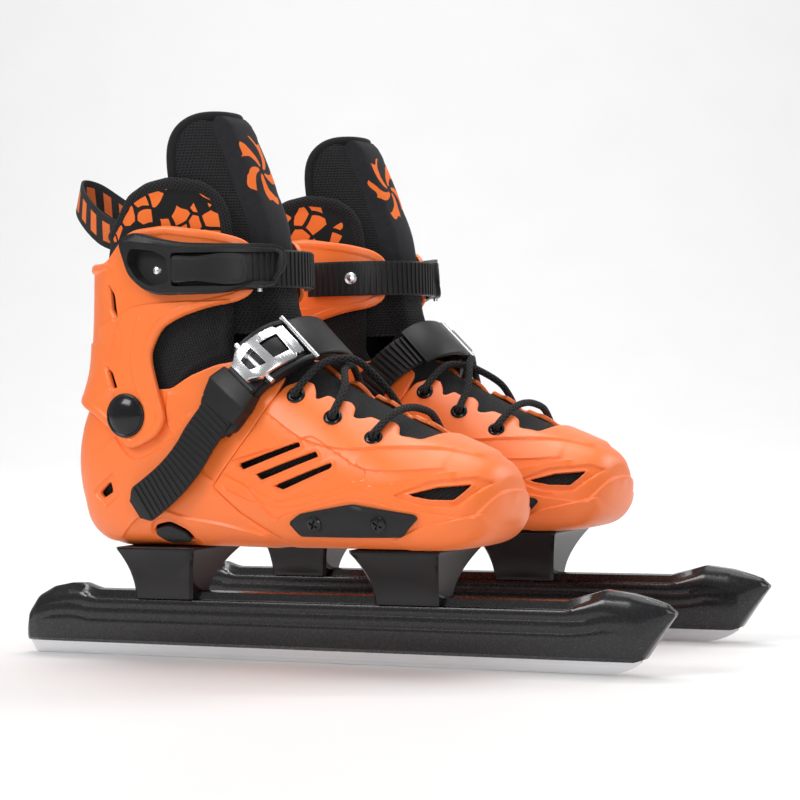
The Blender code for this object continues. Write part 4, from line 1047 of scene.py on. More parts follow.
CUFF_FEATURES = (
    Border(CUFF_EDGE, 0.7, 0.5, 5),
    Crease(((-120, 185), (-103, 191), (-90, 196.5), (-60, 198), (-33, 197.5)), 1.3, 0.4, 9.0, up=False),
    Crease(((-110, 224), (-107, 207), (-103, 191), (-109, 166), (-106, 146)), 1.2, 0.5, 9.0, up=False),
    Crease(((-89, 192), (-94, 172), (-93, 155), (-86, 140)), 1.0, 0.5, 7.0),
    Crease(((-112, 150), (-104, 162), (-100, 178), (-103, 191)), 0.8, 0.5, 5.0, up=False),
    Panel(((-135, 216), (-118, 216), (-113, 196), (-121, 176), (-135, 178)), -0.8, 0.5),
)


# ---------------------------------------------------------------- sweeping, turning and repeating
def slab(width, low, high, corner=0.5, steps=3):
    """A rounded rectangle as (across, out) pairs."""
    corner = min(corner, (high - low) / 2 - 0.01, width / 2 - 0.01)
    turns = np.linspace(0, math.pi / 2, steps)
    pairs = []
    for quarter, (ax, oy) in enumerate(((1, 1), (-1, 1), (-1, -1), (1, -1))):
        middle = (ax * (width / 2 - corner), (high if oy > 0 else low) - oy * corner)
        for t in turns:
            angle = t + quarter * math.pi / 2
            pairs.append((middle[0] + corner * math.cos(angle), middle[1] + corner * math.sin(angle)))
    return np.array(pairs)


def rings_joined(count, size):
    """Faces that join each of a count of rings to the next, and close both ends."""
    bands = [(i * size + j, i * size + (j + 1) % size, (i + 1) * size + (j + 1) % size, (i + 1) * size + j)
             for i in range(count - 1) for j in range(size)]  # fmt: skip
    return bands + [tuple(range(size)), tuple((count - 1) * size + j for j in range(size))]


def sweep(name, frames, profile):
    """Carry a profile of (across, out) pairs along frames. The profile may change on the way."""
    points, across, out = frames
    count = len(points)
    shapes = [profile(i / (count - 1)) if callable(profile) else profile for i in range(count)]
    size = len(shapes[0])
    rings = [p + a * shape[:, :1] + o * shape[:, 1:] for p, a, o, shape in zip(points, across, out, shapes)]
    travel = np.concatenate([[0], np.cumsum(np.linalg.norm(np.diff(points, axis=0), axis=1))]) * 0.01
    edge = shapes[0]
    steps = np.linalg.norm(np.diff(np.vstack([edge, edge[:1]]), axis=0), axis=1)
    round_it = np.concatenate([[0], np.cumsum(steps)]) * 0.01
    faces, uv = [], []
    for i in range(count - 1):
        for j in range(size):
            n = (j + 1) % size
            faces.append((i * size + j, i * size + n, (i + 1) * size + n, (i + 1) * size + j))
            uv += [(travel[i], round_it[j]), (travel[i], round_it[j + 1]),
                   (travel[i + 1], round_it[j + 1]), (travel[i + 1], round_it[j])]  # fmt: skip
    faces += [tuple(reversed(range(size))), tuple((count - 1) * size + j for j in range(size))]
    uv += [(0, 0)] * (2 * size)
    piece = template(name, np.concatenate(rings), faces, uv)
    if signed_volume(piece) < 0:
        piece.data.flip_normals()
    return piece


def cord_frames(points):
    """Frames that follow a line without twisting."""
    along = unit(np.gradient(points, axis=0))
    across = [unit(np.cross(along[0], (0.3, 0.2, 0.9)))]
    for tangent in along[1:]:
        last = across[-1] - tangent * (across[-1] @ tangent)
        across.append(unit(last))
    across = np.array(across)
    return points, across, np.cross(along, across)


def round_cord(name, points, radius, sides=12):
    turns = np.arange(sides) * 2 * math.pi / sides
    piece = sweep(name, cord_frames(points), np.stack([np.cos(turns), np.sin(turns)], axis=1) * radius)
    # The second place across a cord is its turn from 0 to 1, for the braid.
    layer = piece.data.uv_layers["surface"].data
    values = np.empty(len(layer) * 2, np.float32)
    layer.foreach_get("uv", values)
    values[1::2] /= sides * 2 * radius * math.sin(math.pi / sides) * 0.01
    layer.foreach_set("uv", values)
    return piece


def turned(name, profile, sides=32):
    """A profile of (radius, height) turned about z, with caps unless it comes back to its start."""
    turns = np.arange(sides) * 2 * math.pi / sides
    verts = [(r * math.cos(t), r * math.sin(t), h) for r, h in profile for t in turns]
    faces = rings_joined(len(profile), sides)
    if profile[0] == profile[-1]:
        faces = faces[:-2]
    return closed_outwards(template(name, verts, faces))


def add_node(tree, kind, *inputs, **settings):
    node = tree.nodes.new(kind)
    for key, value in settings.items():
        setattr(node, key, value)
    for socket, source in inputs:
        target = node.inputs[socket]
        if isinstance(source, bpy.types.NodeSocket):
            tree.links.new(source, target)
        else:
            target.default_value = source
    return node


def repeat_tree(name, along_path):
    """Node tree that sets a shape on each point, or at even steps along a path, squared to the surface."""
    tree = bpy.data.node_groups.new(name, "GeometryNodeTree")
    face = tree.interface
    face.new_socket("Geometry", in_out="INPUT", socket_type="NodeSocketGeometry")
    face.new_socket("Shape", in_out="INPUT", socket_type="NodeSocketObject")
    face.new_socket("Spacing", in_out="INPUT", socket_type="NodeSocketFloat")
    face.new_socket("Finish", in_out="INPUT", socket_type="NodeSocketMaterial")
    face.new_socket("Geometry", in_out="OUTPUT", socket_type="NodeSocketGeometry")
    start = tree.nodes.new("NodeGroupInput").outputs
    points = start["Geometry"]
    if along_path:
        path = add_node(tree, "GeometryNodeMeshToCurve", ("Mesh", points))
        points = add_node(tree, "GeometryNodeResampleCurve", ("Curve", path.outputs[0]),
                          ("Length", start["Spacing"]), mode="LENGTH").outputs[0]  # fmt: skip
    along = add_node(tree, "GeometryNodeInputNamedAttribute", ("Name", "along"), data_type="FLOAT_VECTOR")
    out = add_node(tree, "GeometryNodeInputNamedAttribute", ("Name", "out"), data_type="FLOAT_VECTOR")
    first = add_node(tree, "FunctionNodeAlignRotationToVector", ("Vector", out.outputs[0]), axis="Z")
    second = add_node(tree, "FunctionNodeAlignRotationToVector", ("Rotation", first.outputs[0]),
                      ("Vector", along.outputs[0]), axis="X", pivot_axis="Z")  # fmt: skip
    shape = add_node(tree, "GeometryNodeObjectInfo", ("Object", start["Shape"]))
    copies = add_node(tree, "GeometryNodeInstanceOnPoints", ("Points", points),
                      ("Instance", shape.outputs["Geometry"]), ("Rotation", second.outputs[0]))  # fmt: skip
    real = add_node(tree, "GeometryNodeRealizeInstances", ("Geometry", copies.outputs[0]))
    painted = add_node(tree, "GeometryNodeSetMaterial", ("Geometry", real.outputs[0]),
                       ("Material", start["Finish"]))  # fmt: skip
    end = tree.nodes.new("NodeGroupOutput")
    tree.links.new(painted.outputs[0], end.inputs[0])
    return tree


def repeated(name, shape, points, along, out, finish, spacing=None):
    """Copies of a shape on points, or at even steps along the line through them, as one template."""
    mesh = bpy.data.meshes.new(name)
    edges = [(i, i + 1) for i in range(len(points) - 1)] if spacing else []
    mesh.from_pydata([tuple(p) for p in points], edges, [])
    for key, rows in (("along", along), ("out", out)):
        attribute = mesh.attributes.new(key, "FLOAT_VECTOR", "POINT")
        attribute.data.foreach_set("vector", np.asarray(rows, np.float32).ravel())
    host = bpy.data.objects.new(name, mesh)
    bpy.context.scene.collection.objects.link(host)
    label = "repeat_along_path" if spacing else "place_at_points"
    tree = bpy.data.node_groups.get(label) or repeat_tree(label, bool(spacing))
    step = host.modifiers.new("Repeat", "NODES")
    step.node_group = tree
    values = {"Shape": shape, "Spacing": float(spacing or 1), "Finish": material(finish)}
    for item in tree.interface.items_tree:
        if item.in_out == "INPUT" and item.name in values:
            step[item.identifier] = values[item.name]
    baked(host)
    bpy.data.objects.remove(shape)
    return host


def instep_frames(start, end, count=60):
    """Frames along the instep strap's route between two of its steps."""
    last = len(INSTEP_ROUTE) - 1
    at = np.linspace(start, end, count) / INSTEP_STEPS * last
    here, ahead, behind = (rows_at(INSTEP_ROUTE, np.clip(at + d, 0, last)) for d in (0, 0.05, -0.05))
    along = form(ahead[:, 0], ahead[:, 1]) - form(behind[:, 0], behind[:, 1])
    out = normal(here[:, 0], here[:, 1])
    return form(here[:, 0], here[:, 1]), unit(np.cross(out, along)), out


def section_at_height(z, degrees):
    low, high = np.full(len(degrees), 9.0), np.full(len(degrees), float(LAST))
    for _ in range(24):
        middle = (low + high) / 2
        below = form(middle, degrees)[:, 2] < z
        low, high = np.where(below, middle, low), np.where(below, high, middle)
    return (low + high) / 2


def shaft_frames(z, start, end, count=60):
    """Level frames round the shaft at one height."""
    degrees = np.linspace(start, end, count)
    section = section_at_height(z + LIFT, degrees)
    out = unit(normal(section, degrees) * (1, 1, 0))
    return form(section, degrees), np.tile([0.0, 0.0, 1.0], (count, 1)), out


def rib(width, length, height):
    """One rounded bar of a ladder, across x, its base a little under z = 0."""
    shape = template("rib", *box_mesh((-length / 2, -width / 2, -0.3), (length / 2, width / 2, height)))
    return bevelled(shape, min(length, height) * 0.3, 1)


def box_mesh(low, high):
    (x0, y0, z0), (x1, y1, z1) = low, high
    verts = [(x, y, z) for z in (z0, z1) for y in (y0, y1) for x in (x0, x1)]
    faces = [(0, 2, 3, 1), (4, 5, 7, 6), (0, 1, 5, 4), (2, 6, 7, 3), (0, 4, 6, 2), (1, 3, 7, 5)]
    return verts, faces


RIB_HEIGHT = 0.7


def ladder(name, frames, width, low, high, rib_from, rib_to):
    """A strap with a row of ribs across its outside."""
    points, _, out = frames

    def tapered(t):
        return slab(width * (1 - 0.45 * (1 - smoothstep(0.0, 0.03, t))), low, high - RIB_HEIGHT, 0.4)

    strap = sweep(name + "_strap", frames, tapered)
    first, last = int(rib_from * (len(points) - 1)), int(rib_to * (len(points) - 1))
    part = slice(first, last + 1)
    line = points[part] + out[part] * (high - RIB_HEIGHT)
    along = unit(np.gradient(points, axis=0))[part]
    spacing = sizes().rib_spacing / MM
    bar = rib(width - 1.6, spacing * 0.52, RIB_HEIGHT)
    ribs = repeated(name + "_ribs", bar, line, along, out[part], "matte_nylon", spacing)
    return joined(name, strap, ribs)


def lace_points():
    """The lace's own line: out of each eyelet, over the throat and in at the next pair."""
    radius = sizes().lace_diameter / MM / 2
    under, over = -SHELL_WALL - radius - 0.5, radius + 0.9
    mirror = np.array([1, -1, 1])

    def at(pair, side, height):
        point, out = seat(*EYELETS[pair], side)
        return point + out * height

    sections, degrees = np.meshgrid(np.linspace(0.5, 10, 200), np.linspace(90, 180, 160))
    grid = form(sections, degrees)

    def across(x, y, height):
        away = (grid[..., 0] - x) ** 2 + (grid[..., 1] - abs(y)) ** 2
        k = np.unravel_index(np.argmin(away), away.shape)
        flip = np.array([1, math.copysign(1, y), 1])
        return (grid[k] + normal(sections[k], degrees[k]) * height) * flip

    half = [
        across(52, 0, over + 0.6), across(52, 12, over + 0.4), across(51.5, 24, over + 0.6),
        at(0, 1, over + 1.2) + (0, -1.5, 0), at(0, 1, 1.5), at(0, 1, -2.5),
        at(0, 1, under - 1) + (-3.5, 0, 1.2),
        0.5 * (at(0, 1, under) + at(1, 1, under)), at(1, 1, under - 1) + (3.5, 0, -1.2), at(1, 1, -2.5),
        at(1, 1, 1.5), at(1, 1, over + 1.2) + (0, -1.5, 0), across(24, 22, over + 0.6),
    ]  # fmt: skip
    step = radius * 2 + 0.3
    lower = [across(16, 8, over + 0.4), across(12, -3, over + 0.4), across(7, -18, over + 0.4)]
    upper = [across(16, 8, over + step) * mirror, across(12, -3, over + step + 0.6) * mirror,
             across(7, -18, over + 1.5) * mirror]  # fmt: skip

    def end(side):
        return [at(2, side, over + 1.2) + (0, -1.5 * side, 0), at(2, side, 1.5), at(2, side, -2.5),
                at(2, side, under - 1) + (-2.5, 0, 1.0), at(2, side, under - 1) + (-5, 0, 2)]  # fmt: skip

    control = ([p * mirror for p in half[1:]] + upper + end(1))[::-1] + half + lower + end(-1)
    return rows_at(control, np.linspace(0, len(control) - 1, (len(control) - 1) * 8 + 1))


# ---------------------------------------------------------------- blade
TUBE_HALF, LEDGE_DROP = 8.4, 5.0
TUBE_STATIONS = (
    # x, top, bottom, width share, how much of a ledge the sides have
    (-200, 17, 7, 0.35, 0), (-197.5, 25, 7, 0.62, 0), (-191, 33, 7, 0.84, 0), (-180, 38.5, 7, 0.96, 0),
    (-168, 40.8, 7, 1.0, 0.1), (-159, 41.0, 7, 1.0, 0.4), (-153, 39.2, 7, 1.0, 0.9), (-148, 38, 7, 1.0, 1),
    (-60, 38, 7, 1.0, 1), (40, 38, 7, 1.0, 1), (142, 38, 7, 1.0, 1), (153, 40.8, 7, 1.0, 0.6),
    (163, 43.5, 7, 1.0, 0.2), (178, 41.5, 7, 0.95, 0), (183, 40.3, 8.5, 0.88, 0), (190, 38.5, 18, 0.70, 0),
    (196, 36.5, 26, 0.50, 0), (200, 33, 31, 0.30, 0),
)  # fmt: skip


# Shares of the half width and of the height, from the middle of the underside to the ridge.
PLAIN_TUBE = (
    (0.10, 0), (0.50, 0), (0.78, 0.06), (0.93, 0.20), (1.0, 0.38), (1.0, 0.45), (1.0, 0.48), (1.0, 0.51),
    (1.0, 0.56), (0.99, 0.62), (0.97, 0.66), (0.95, 0.70), (0.92, 0.75), (0.86, 0.82), (0.72, 0.90),
    (0.50, 0.97), (0.30, 1.0), (0, 1.0),
)  # fmt: skip
GROOVES = (6, 10)  # the points of the outline that lie in a groove


def blade_tube():
    """The lacquered tube: rounded tail, ridge and ledges, two grooves, two humps and a swept nose."""
    stations = np.array(TUBE_STATIONS, float)
    xs = np.concatenate([np.linspace(-200, -140, 50), np.linspace(-136, 136, 90), np.linspace(140, 200, 60)])
    rings = []
    for x in xs:
        top, bottom, share, ledged = (np.interp(x, stations[:, 0], stations[:, k]) for k in (1, 2, 3, 4))
        half, tall = TUBE_HALF * share, top - bottom
        ledge = top - LEDGE_DROP
        groove = 0.3 * smoothstep(-192, -176, x) * smoothstep(178, 160, x)
        shelf = ((0.10, bottom), (0.50, bottom), (0.80, bottom + 2), (0.93, bottom + 6), (1.0, bottom + 11.5),
                 (1.0, bottom + 13.2), (1.0, bottom + 14.1), (1.0, bottom + 15.0), (1.0, bottom + 17),
                 (1.0, bottom + 19.6), (1.0, bottom + 20.5), (1.0, bottom + 21.4), (0.99, ledge - 1.6),
                 (0.93, ledge - 0.3), (0.84, ledge), (0.52, ledge + 0.3), (0.42, top - 0.7), (0, top))  # fmt: skip
        line = []
        for k, ((a, up), (b, z)) in enumerate(zip(PLAIN_TUBE, shelf)):
            inset = groove if k in GROOVES else 0
            line.append((half * (a + (b - a) * ledged) - inset, (bottom + up * tall) * (1 - ledged) + z * ledged))
        rings.append([(x, y, z) for y, z in line] + [(x, -y, z) for y, z in reversed(line[:-1])])
    verts = [point for ring in rings for point in ring]
    return closed_outwards(template("blade_tube", verts, rings_joined(len(rings), len(rings[0]))))


def tower(name, rear_top, rear_foot, front_top, front_foot):
    """A folded post: waisted sides that flare into a wide saddle under the sole."""
    foot, head, foot_half, top_half, corner = 33.3, 63.8, 9.3, 27.0, 1.6
    saddle = 0.93  # the share of the height where the lip of the saddle starts
    rings = []
    for rise in np.concatenate([np.linspace(0, 0.9, 12), [saddle, 0.955, 1.0]]):
        flare = min(rise / saddle, 1.0) ** 1.9
        lip = smoothstep(0.925, 0.95, rise) * 0.7
        half = foot_half + (top_half - foot_half) * flare
        rear = rear_foot + (rear_top - rear_foot) * flare
        front = front_foot + (front_top - front_foot) * flare
        z = foot + (head - foot) * rise
        dish = 1.6 * math.sin(math.pi * min(rise / saddle, 1)) ** 2
        run = front - rear - 2 * corner
        waist = [(front - corner - run * t, half + lip - dish * math.sin(math.pi * t) ** 0.6)
                 for t in (0.0, 0.08, 0.25, 0.5, 0.75, 0.92, 1.0)]  # fmt: skip
        ring = [(front + lip, half - corner)] + waist + [(rear - lip, half - corner)]
        rings.append([(x, y, z) for x, y in ring] + [(x, -y, z) for x, y in reversed(ring)])
    verts = [point for ring in rings for point in ring]
    post = template(name, verts, rings_joined(len(rings), len(rings[0])))
    return bevelled(closed_outwards(post), 0.5, 2, 50)


# ---------------------------------------------------------------- liner and tongue
def liner_high(s, turn):
    return LINER_HIGH - np.interp(s, np.arange(len(LINER_WAIST)), LINER_WAIST)


def liner_low(s, turn):
    return liner_high(s, turn) - LINER_WALL


def liner_relief(points, out, s, turn, depth):
    """A rolled pile edge and soft padding between its seams."""
    roll = np.sqrt(np.maximum(1 - ((depth - 3.2) / 3.4) ** 2, 0)) * 1.5
    puff = 0.8 * smoothstep(7, 16, depth) * smoothstep(150, 175, points[:, 2])
    line = rows_at(PIPING, np.linspace(0, len(PIPING) - 1, 40))
    piping = nearest_on(line, False, points[:, 0], points[:, 2])[0]
    return roll + puff + 1.3 * np.exp(-((piping / 1.6) ** 2))


PIPING = ((-72, 152 + LIFT), (-62, 161 + LIFT), (-48, 168 + LIFT), (-34, 171 + LIFT))


def tongue_level(z, lean, turn, shares, thickness_share):
    """One level of the upper tongue: outer side and inner side, across its half turns."""
    level = min(z, FORM_TOP)
    away = np.abs(turn * shares)
    degrees = 180 - turn * shares
    section = section_at_height(level + LIFT, degrees)
    out = unit(normal(section, degrees) * (1, 1, 0))
    bulge = smoothstep(-24, -16, -away)
    tucked = -8.7 * (1 - bulge) - 1.5 * bulge
    pad = np.sqrt(np.maximum(1 - np.abs(shares) ** 5, 0))
    point = form(section, degrees)
    point = point + out * tucked[:, None]
    point[:, 0] -= lean
    point[:, 2] = z + LIFT
    inset = 6.0 * (0.35 + 0.65 * pad) * thickness_share
    outer = point + out * (0.9 * (pad - 1))[:, None]
    return outer, point - out * inset[:, None]


def evened(line, count):
    """Points at even steps along a line."""
    length = np.concatenate([[0], np.cumsum(np.linalg.norm(np.diff(line, axis=0), axis=1))])
    at = np.linspace(0, length[-1], count)
    return np.stack([np.interp(at, length, line[:, k]) for k in range(3)], axis=1)


def tongue_top():
    """The upper tongue, a padded leaf that wraps the shin and leans back over the collar."""
    rows = np.array(TONGUE_TOP)
    levels = rows_at(rows, np.linspace(0, len(rows) - 1, 56))
    shares = np.sin(np.linspace(-math.pi / 2, math.pi / 2, 49))
    rings, places, edge = [], [], []
    for z, lean, turn in levels:
        thin = 1 - 0.5 * smoothstep(292, 300.3, z)
        outer, inner = tongue_level(z, lean, turn, shares, thin)
        rings.append(np.concatenate([outer, inner[::-1]]))
        u = turn / 90 * shares * 0.62
        places.append([(a, (z - 200) * 0.01) for a in u] + [(a, (z - 200) * 0.01) for a in u[::-1]])
        edge.append((0.5 * (outer[0] + inner[0]), 0.5 * (outer[-1] + inner[-1])))
    size = len(rings[0])
    faces = rings_joined(len(rings), size)
    uv = [places[k // size][k % size] for face in faces for k in face]
    verts = np.concatenate(rings)
    share = np.tile(np.concatenate([shares, shares[::-1]]), len(rings))
    turn_of = np.repeat(levels[:, 2], size)
    inner = np.tile(np.repeat([0.0, 1.0], len(shares)), len(rings))
    piece = template("tongue", verts, faces, uv, flank=np.abs(share) * turn_of, inner=inner)
    if signed_volume(piece) < 0:
        piece.data.flip_normals()
    left, right = [pair[0] for pair in edge], [pair[1] for pair in edge]
    over = 0.5 * (rings[-1][: len(shares)] + rings[-1][len(shares):][::-1])
    line = np.array([*left[6:], *over[1:-1], *right[6:][::-1]])
    keep = np.concatenate([[True], np.linalg.norm(np.diff(line, axis=0), axis=1) > 0.3])
    line = evened(line[keep], 120)
    for _ in range(12):
        line[1:-1] = 0.5 * line[1:-1] + 0.25 * (line[:-2] + line[2:])
    binding = round_cord("tongue_binding", line - (0.8, 0, 0), 2.9, 14)
    return piece, binding


TONGUE_FOOT_EDGE = (
    (74, 190), (72, 110), (47, 104), (23, 112), (0, 124), (-18, 138), (-40, 152), (-46, 176), (-46, 196),
    (10, 196),
)  # fmt: skip


def tongue_foot_high(s, turn):
    return liner_high(s, turn) + 0.6


def tongue_foot_low(s, turn):
    return liner_high(s, turn) - 5.5


# ---------------------------------------------------------------- fittings
BUCKLE_EDGE = (
    (-96, 231), (-91, 235), (-84, 236), (-72, 232), (-58, 229), (-40, 227.5), (-23, 226.5), (-22, 216),
    (-23, 203.5), (-31, 202.5), (-52, 201.5), (-73, 201.5), (-82, 205.5), (-90, 213),
)  # fmt: skip
WELL = ((-88, 227), (-74, 225), (-67, 221), (-66, 208.5), (-76, 206.5), (-84, 211), (-90, 220))
LEVER_WINDOW = ((-64, 223.5), (-24, 222), (-24, 206), (-64, 206))
FLAP = (
    (-64, 222.5), (-52, 221), (-42, 222.5), (-33, 222), (-32, 215), (-33, 207), (-42, 206.5), (-52, 208.5),
    (-64, 207.5),
)  # fmt: skip


BUCKLE_FEATURES = (
    Panel(WELL, -6.3, 0.4, 2),
    Panel(LEVER_WINDOW, -5.4, 0.3, 1),
    Crease(((-94, 232), (-74, 229), (-58, 226.5), (-24, 225)), 0.8, 0.3, 2.0),
)


def bored(piece, *cutters):
    """Take other templates' shapes out of a piece."""
    for cutter in cutters:
        step = piece.modifiers.new("Cut", "BOOLEAN")
        step.operation, step.solver, step.object = "DIFFERENCE", "EXACT", cutter
    baked(piece)
    for cutter in cutters:
        bpy.data.objects.remove(cutter)
    return piece


def cross_screw(radius, height):
    """A pan head screw with a cross recess, its axis along z."""
    profile = [(radius * 0.2, -1.0), (radius, -1.0), (radius, height * 0.35),
               (radius * 0.86, height * 0.75), (radius * 0.55, height), (radius * 0.02, height)]  # fmt: skip
    head = turned("screw", profile, 24)
    arm, deep = radius * 0.62, height * 0.35
    cuts = [template(f"recess_{n}", *box_mesh((-a, -b, deep), (a, b, height + 1)))
            for n, (a, b) in enumerate(((arm, radius * 0.13), (radius * 0.13, arm)))]  # fmt: skip
    return bored(head, *cuts)


# ---------------------------------------------------------------- sizes and operators
class SkateSizes(bpy.types.PropertyGroup):
    """What a user would change on the pair."""

    spacing: bpy.props.FloatProperty(
        name="Spacing", description="Distance between the two blades", unit="LENGTH",
        default=sum(corner.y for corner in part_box("left_blade_runner")))  # fmt: skip
    shell_colour: bpy.props.FloatVectorProperty(
        name="Shell colour", description="Colour of the moulded shells and of the prints", subtype="COLOR",
        size=3, min=0, max=1, default=(1.0, 0.205, 0.038))  # fmt: skip
    detail: bpy.props.IntProperty(
        name="Detail", description="Grid rows between two of the form's sections",
        default=14, min=4, max=24)  # fmt: skip
    rib_spacing: bpy.props.FloatProperty(
        name="Rib spacing", description="Distance between two ribs of a strap's ladder", unit="LENGTH",
        default=0.0034)  # fmt: skip
    lace_diameter: bpy.props.FloatProperty(
        name="Lace diameter", description="Thickness of the round lace", unit="LENGTH",
        default=0.0042)  # fmt: skip


def sizes():
    return bpy.context.scene.ice_skates


class SKATES_OT_shells(bpy.types.Operator):
    """Make the heel shells, toe shells and cuffs."""

    bl_idname = "skates.shells"
    bl_label = "Shells"

    def execute(self, context):
        detail = sizes().detail
        around = detail * 16
        toe = cut_shell("toe_shell", Surface(-1, 13, detail, around), toe_field, 0, -SHELL_WALL, 0.8,
                        toe_relief, TOE_FEATURES)  # fmt: skip
        place(toe, "toe", "moulded_orange", "orange_shell", ["toe_shell"])
        heel = cut_shell("heel_shell", Surface(7, 21, detail, around), heel_field, 0, -SHELL_WALL, 0.7,
                         features=HEEL_FEATURES)  # fmt: skip
        place(heel, "skate_frame", "moulded_orange", "orange_shell", ["heel_shell"])
        cuff = cut_shell("cuff", Surface(11, LAST, detail, around), cuff_field, cuff_outer, cuff_inner, 0.9,
                         features=CUFF_FEATURES)  # fmt: skip
        place(cuff, "cuff", "moulded_orange", "orange_shell", ["cuff"])
        return {"FINISHED"}


# ---------------------------------------------------------------- operators for the other pieces
SOFT = 80  # degrees: soft and round pieces show no sharp edge
SOFT_BEND = (("skate_frame", "cuff"), (-85, 0, 152), (-85, 0, 188))


class SKATES_OT_liner(bpy.types.Operator):
    """Make the padded liners with their printed collars."""

    bl_idname = "skates.liner"
    bl_label = "Liner"

    def execute(self, context):
        surface = Surface(1, LAST, 9, 150)
        field = edge_field(LINER_EDGE)
        liner = cut_shell("liner", surface, field, liner_high, liner_low, 1.6, liner_relief)
        place(liner, None, "collar_cloth", "liner_fabric", ["liner_foot", "liner_collar"], padded=0.5,
              bend=SOFT_BEND, sharp=SOFT)  # fmt: skip
        return {"FINISHED"}


class SKATES_OT_tongue(bpy.types.Operator):
    """Make the tongues, their edge binding and the part under the laces."""

    bl_idname = "skates.tongue"
    bl_label = "Tongue"

    def execute(self, context):
        leaf, binding = tongue_top()
        place(leaf, None, "tongue_cloth", "liner_fabric", ["tongue_top"], padded=0.6, bend=SOFT_BEND,
              sharp=SOFT)  # fmt: skip
        place(binding, None, "pile_binding", "liner_fabric", bend=SOFT_BEND, sharp=SOFT)
        foot = cut_shell("tongue_foot", Surface(0, 12, 7, 140), edge_field(TONGUE_FOOT_EDGE),
                         tongue_foot_high, tongue_foot_low, 1.6)  # fmt: skip
        place(foot, None, "spacer_mesh", "liner_fabric", ["tongue_foot"], padded=0.5, bend=SOFT_BEND,
              sharp=SOFT)  # fmt: skip
        return {"FINISHED"}


class SKATES_OT_pull_loop(bpy.types.Operator):
    """Make the webbing loops behind the collars."""

    bl_idname = "skates.pull_loop"
    bl_label = "Pull loop"

    def execute(self, context):
        route = ((-122.5, 17, 238), (-131, 17, 242), (-141, 15, 250), (-151, 9, 259), (-156, 0, 264),
                 (-151, -9, 262), (-141, -15, 254), (-131, -17, 247), (-122.5, -17, 242))  # fmt: skip
        points = rows_at(route, np.linspace(0, len(route) - 1, 49)) + (0, 0, LIFT)
        across = np.tile(unit(np.array([0.25, 0.0, 0.97])), (len(points), 1))
        frames = points, across, unit(np.cross(np.gradient(points, axis=0), across))
        loop = sweep("pull_loop", frames, slab(17, -0.75, 0.75, 0.4))
        place(loop, "cuff", "woven_webbing", "liner_fabric", ["pull_loop"])
        return {"FINISHED"}


class SKATES_OT_lacing(bpy.types.Operator):
    """Make the laces and their eyelets."""

    bl_idname = "skates.lacing"
    bl_label = "Lacing"

    def execute(self, context):
        cord = round_cord("lace", lace_points(), sizes().lace_diameter / MM / 2, 12)
        place(cord, "toe", "braided_cord", "lace_cord", ["lace"], sharp=SOFT)
        profile = [(2.4, -3.2), (3.1, -3.2), (3.1, 0.0), (4.9, 0.0), (5.0, 0.5), (4.6, 1.1), (3.7, 1.4),
                   (2.8, 1.0), (2.4, 0.2), (2.4, -3.2)]  # fmt: skip
        ring = turned("eyelet", profile, 28)
        seats = [seat(x, z, side) for side in (1, -1) for x, z in EYELETS]
        points, out = np.array([p for p, _ in seats]), np.array([o for _, o in seats])
        along = unit(np.cross(out, (0, 0, 1)))
        rings = repeated("eyelets", ring, points, along, out, "polished_black")
        place(rings, "toe", "polished_black", "gloss_black")
        return {"FINISHED"}


class SKATES_OT_blade(bpy.types.Operator):
    """Make the lacquered tubes and the towers that carry the boots."""

    bl_idname = "skates.blade"
    bl_label = "Blade"

    def execute(self, context):
        place(blade_tube(), "skate_frame", "flake_lacquer", "tube_lacquer", ["blade_tube"], sharp=30)
        heel = tower("heel_tower", -120, -120, -69.5, -82)
        place(heel, "skate_frame", "polished_black", "gloss_black", ["heel_tower"], sharp=30)
        toe = tower("toe_tower", 28, 33, 80, 71)
        place(toe, "skate_frame", "polished_black", "gloss_black", ["toe_tower"], sharp=30)
        return {"FINISHED"}


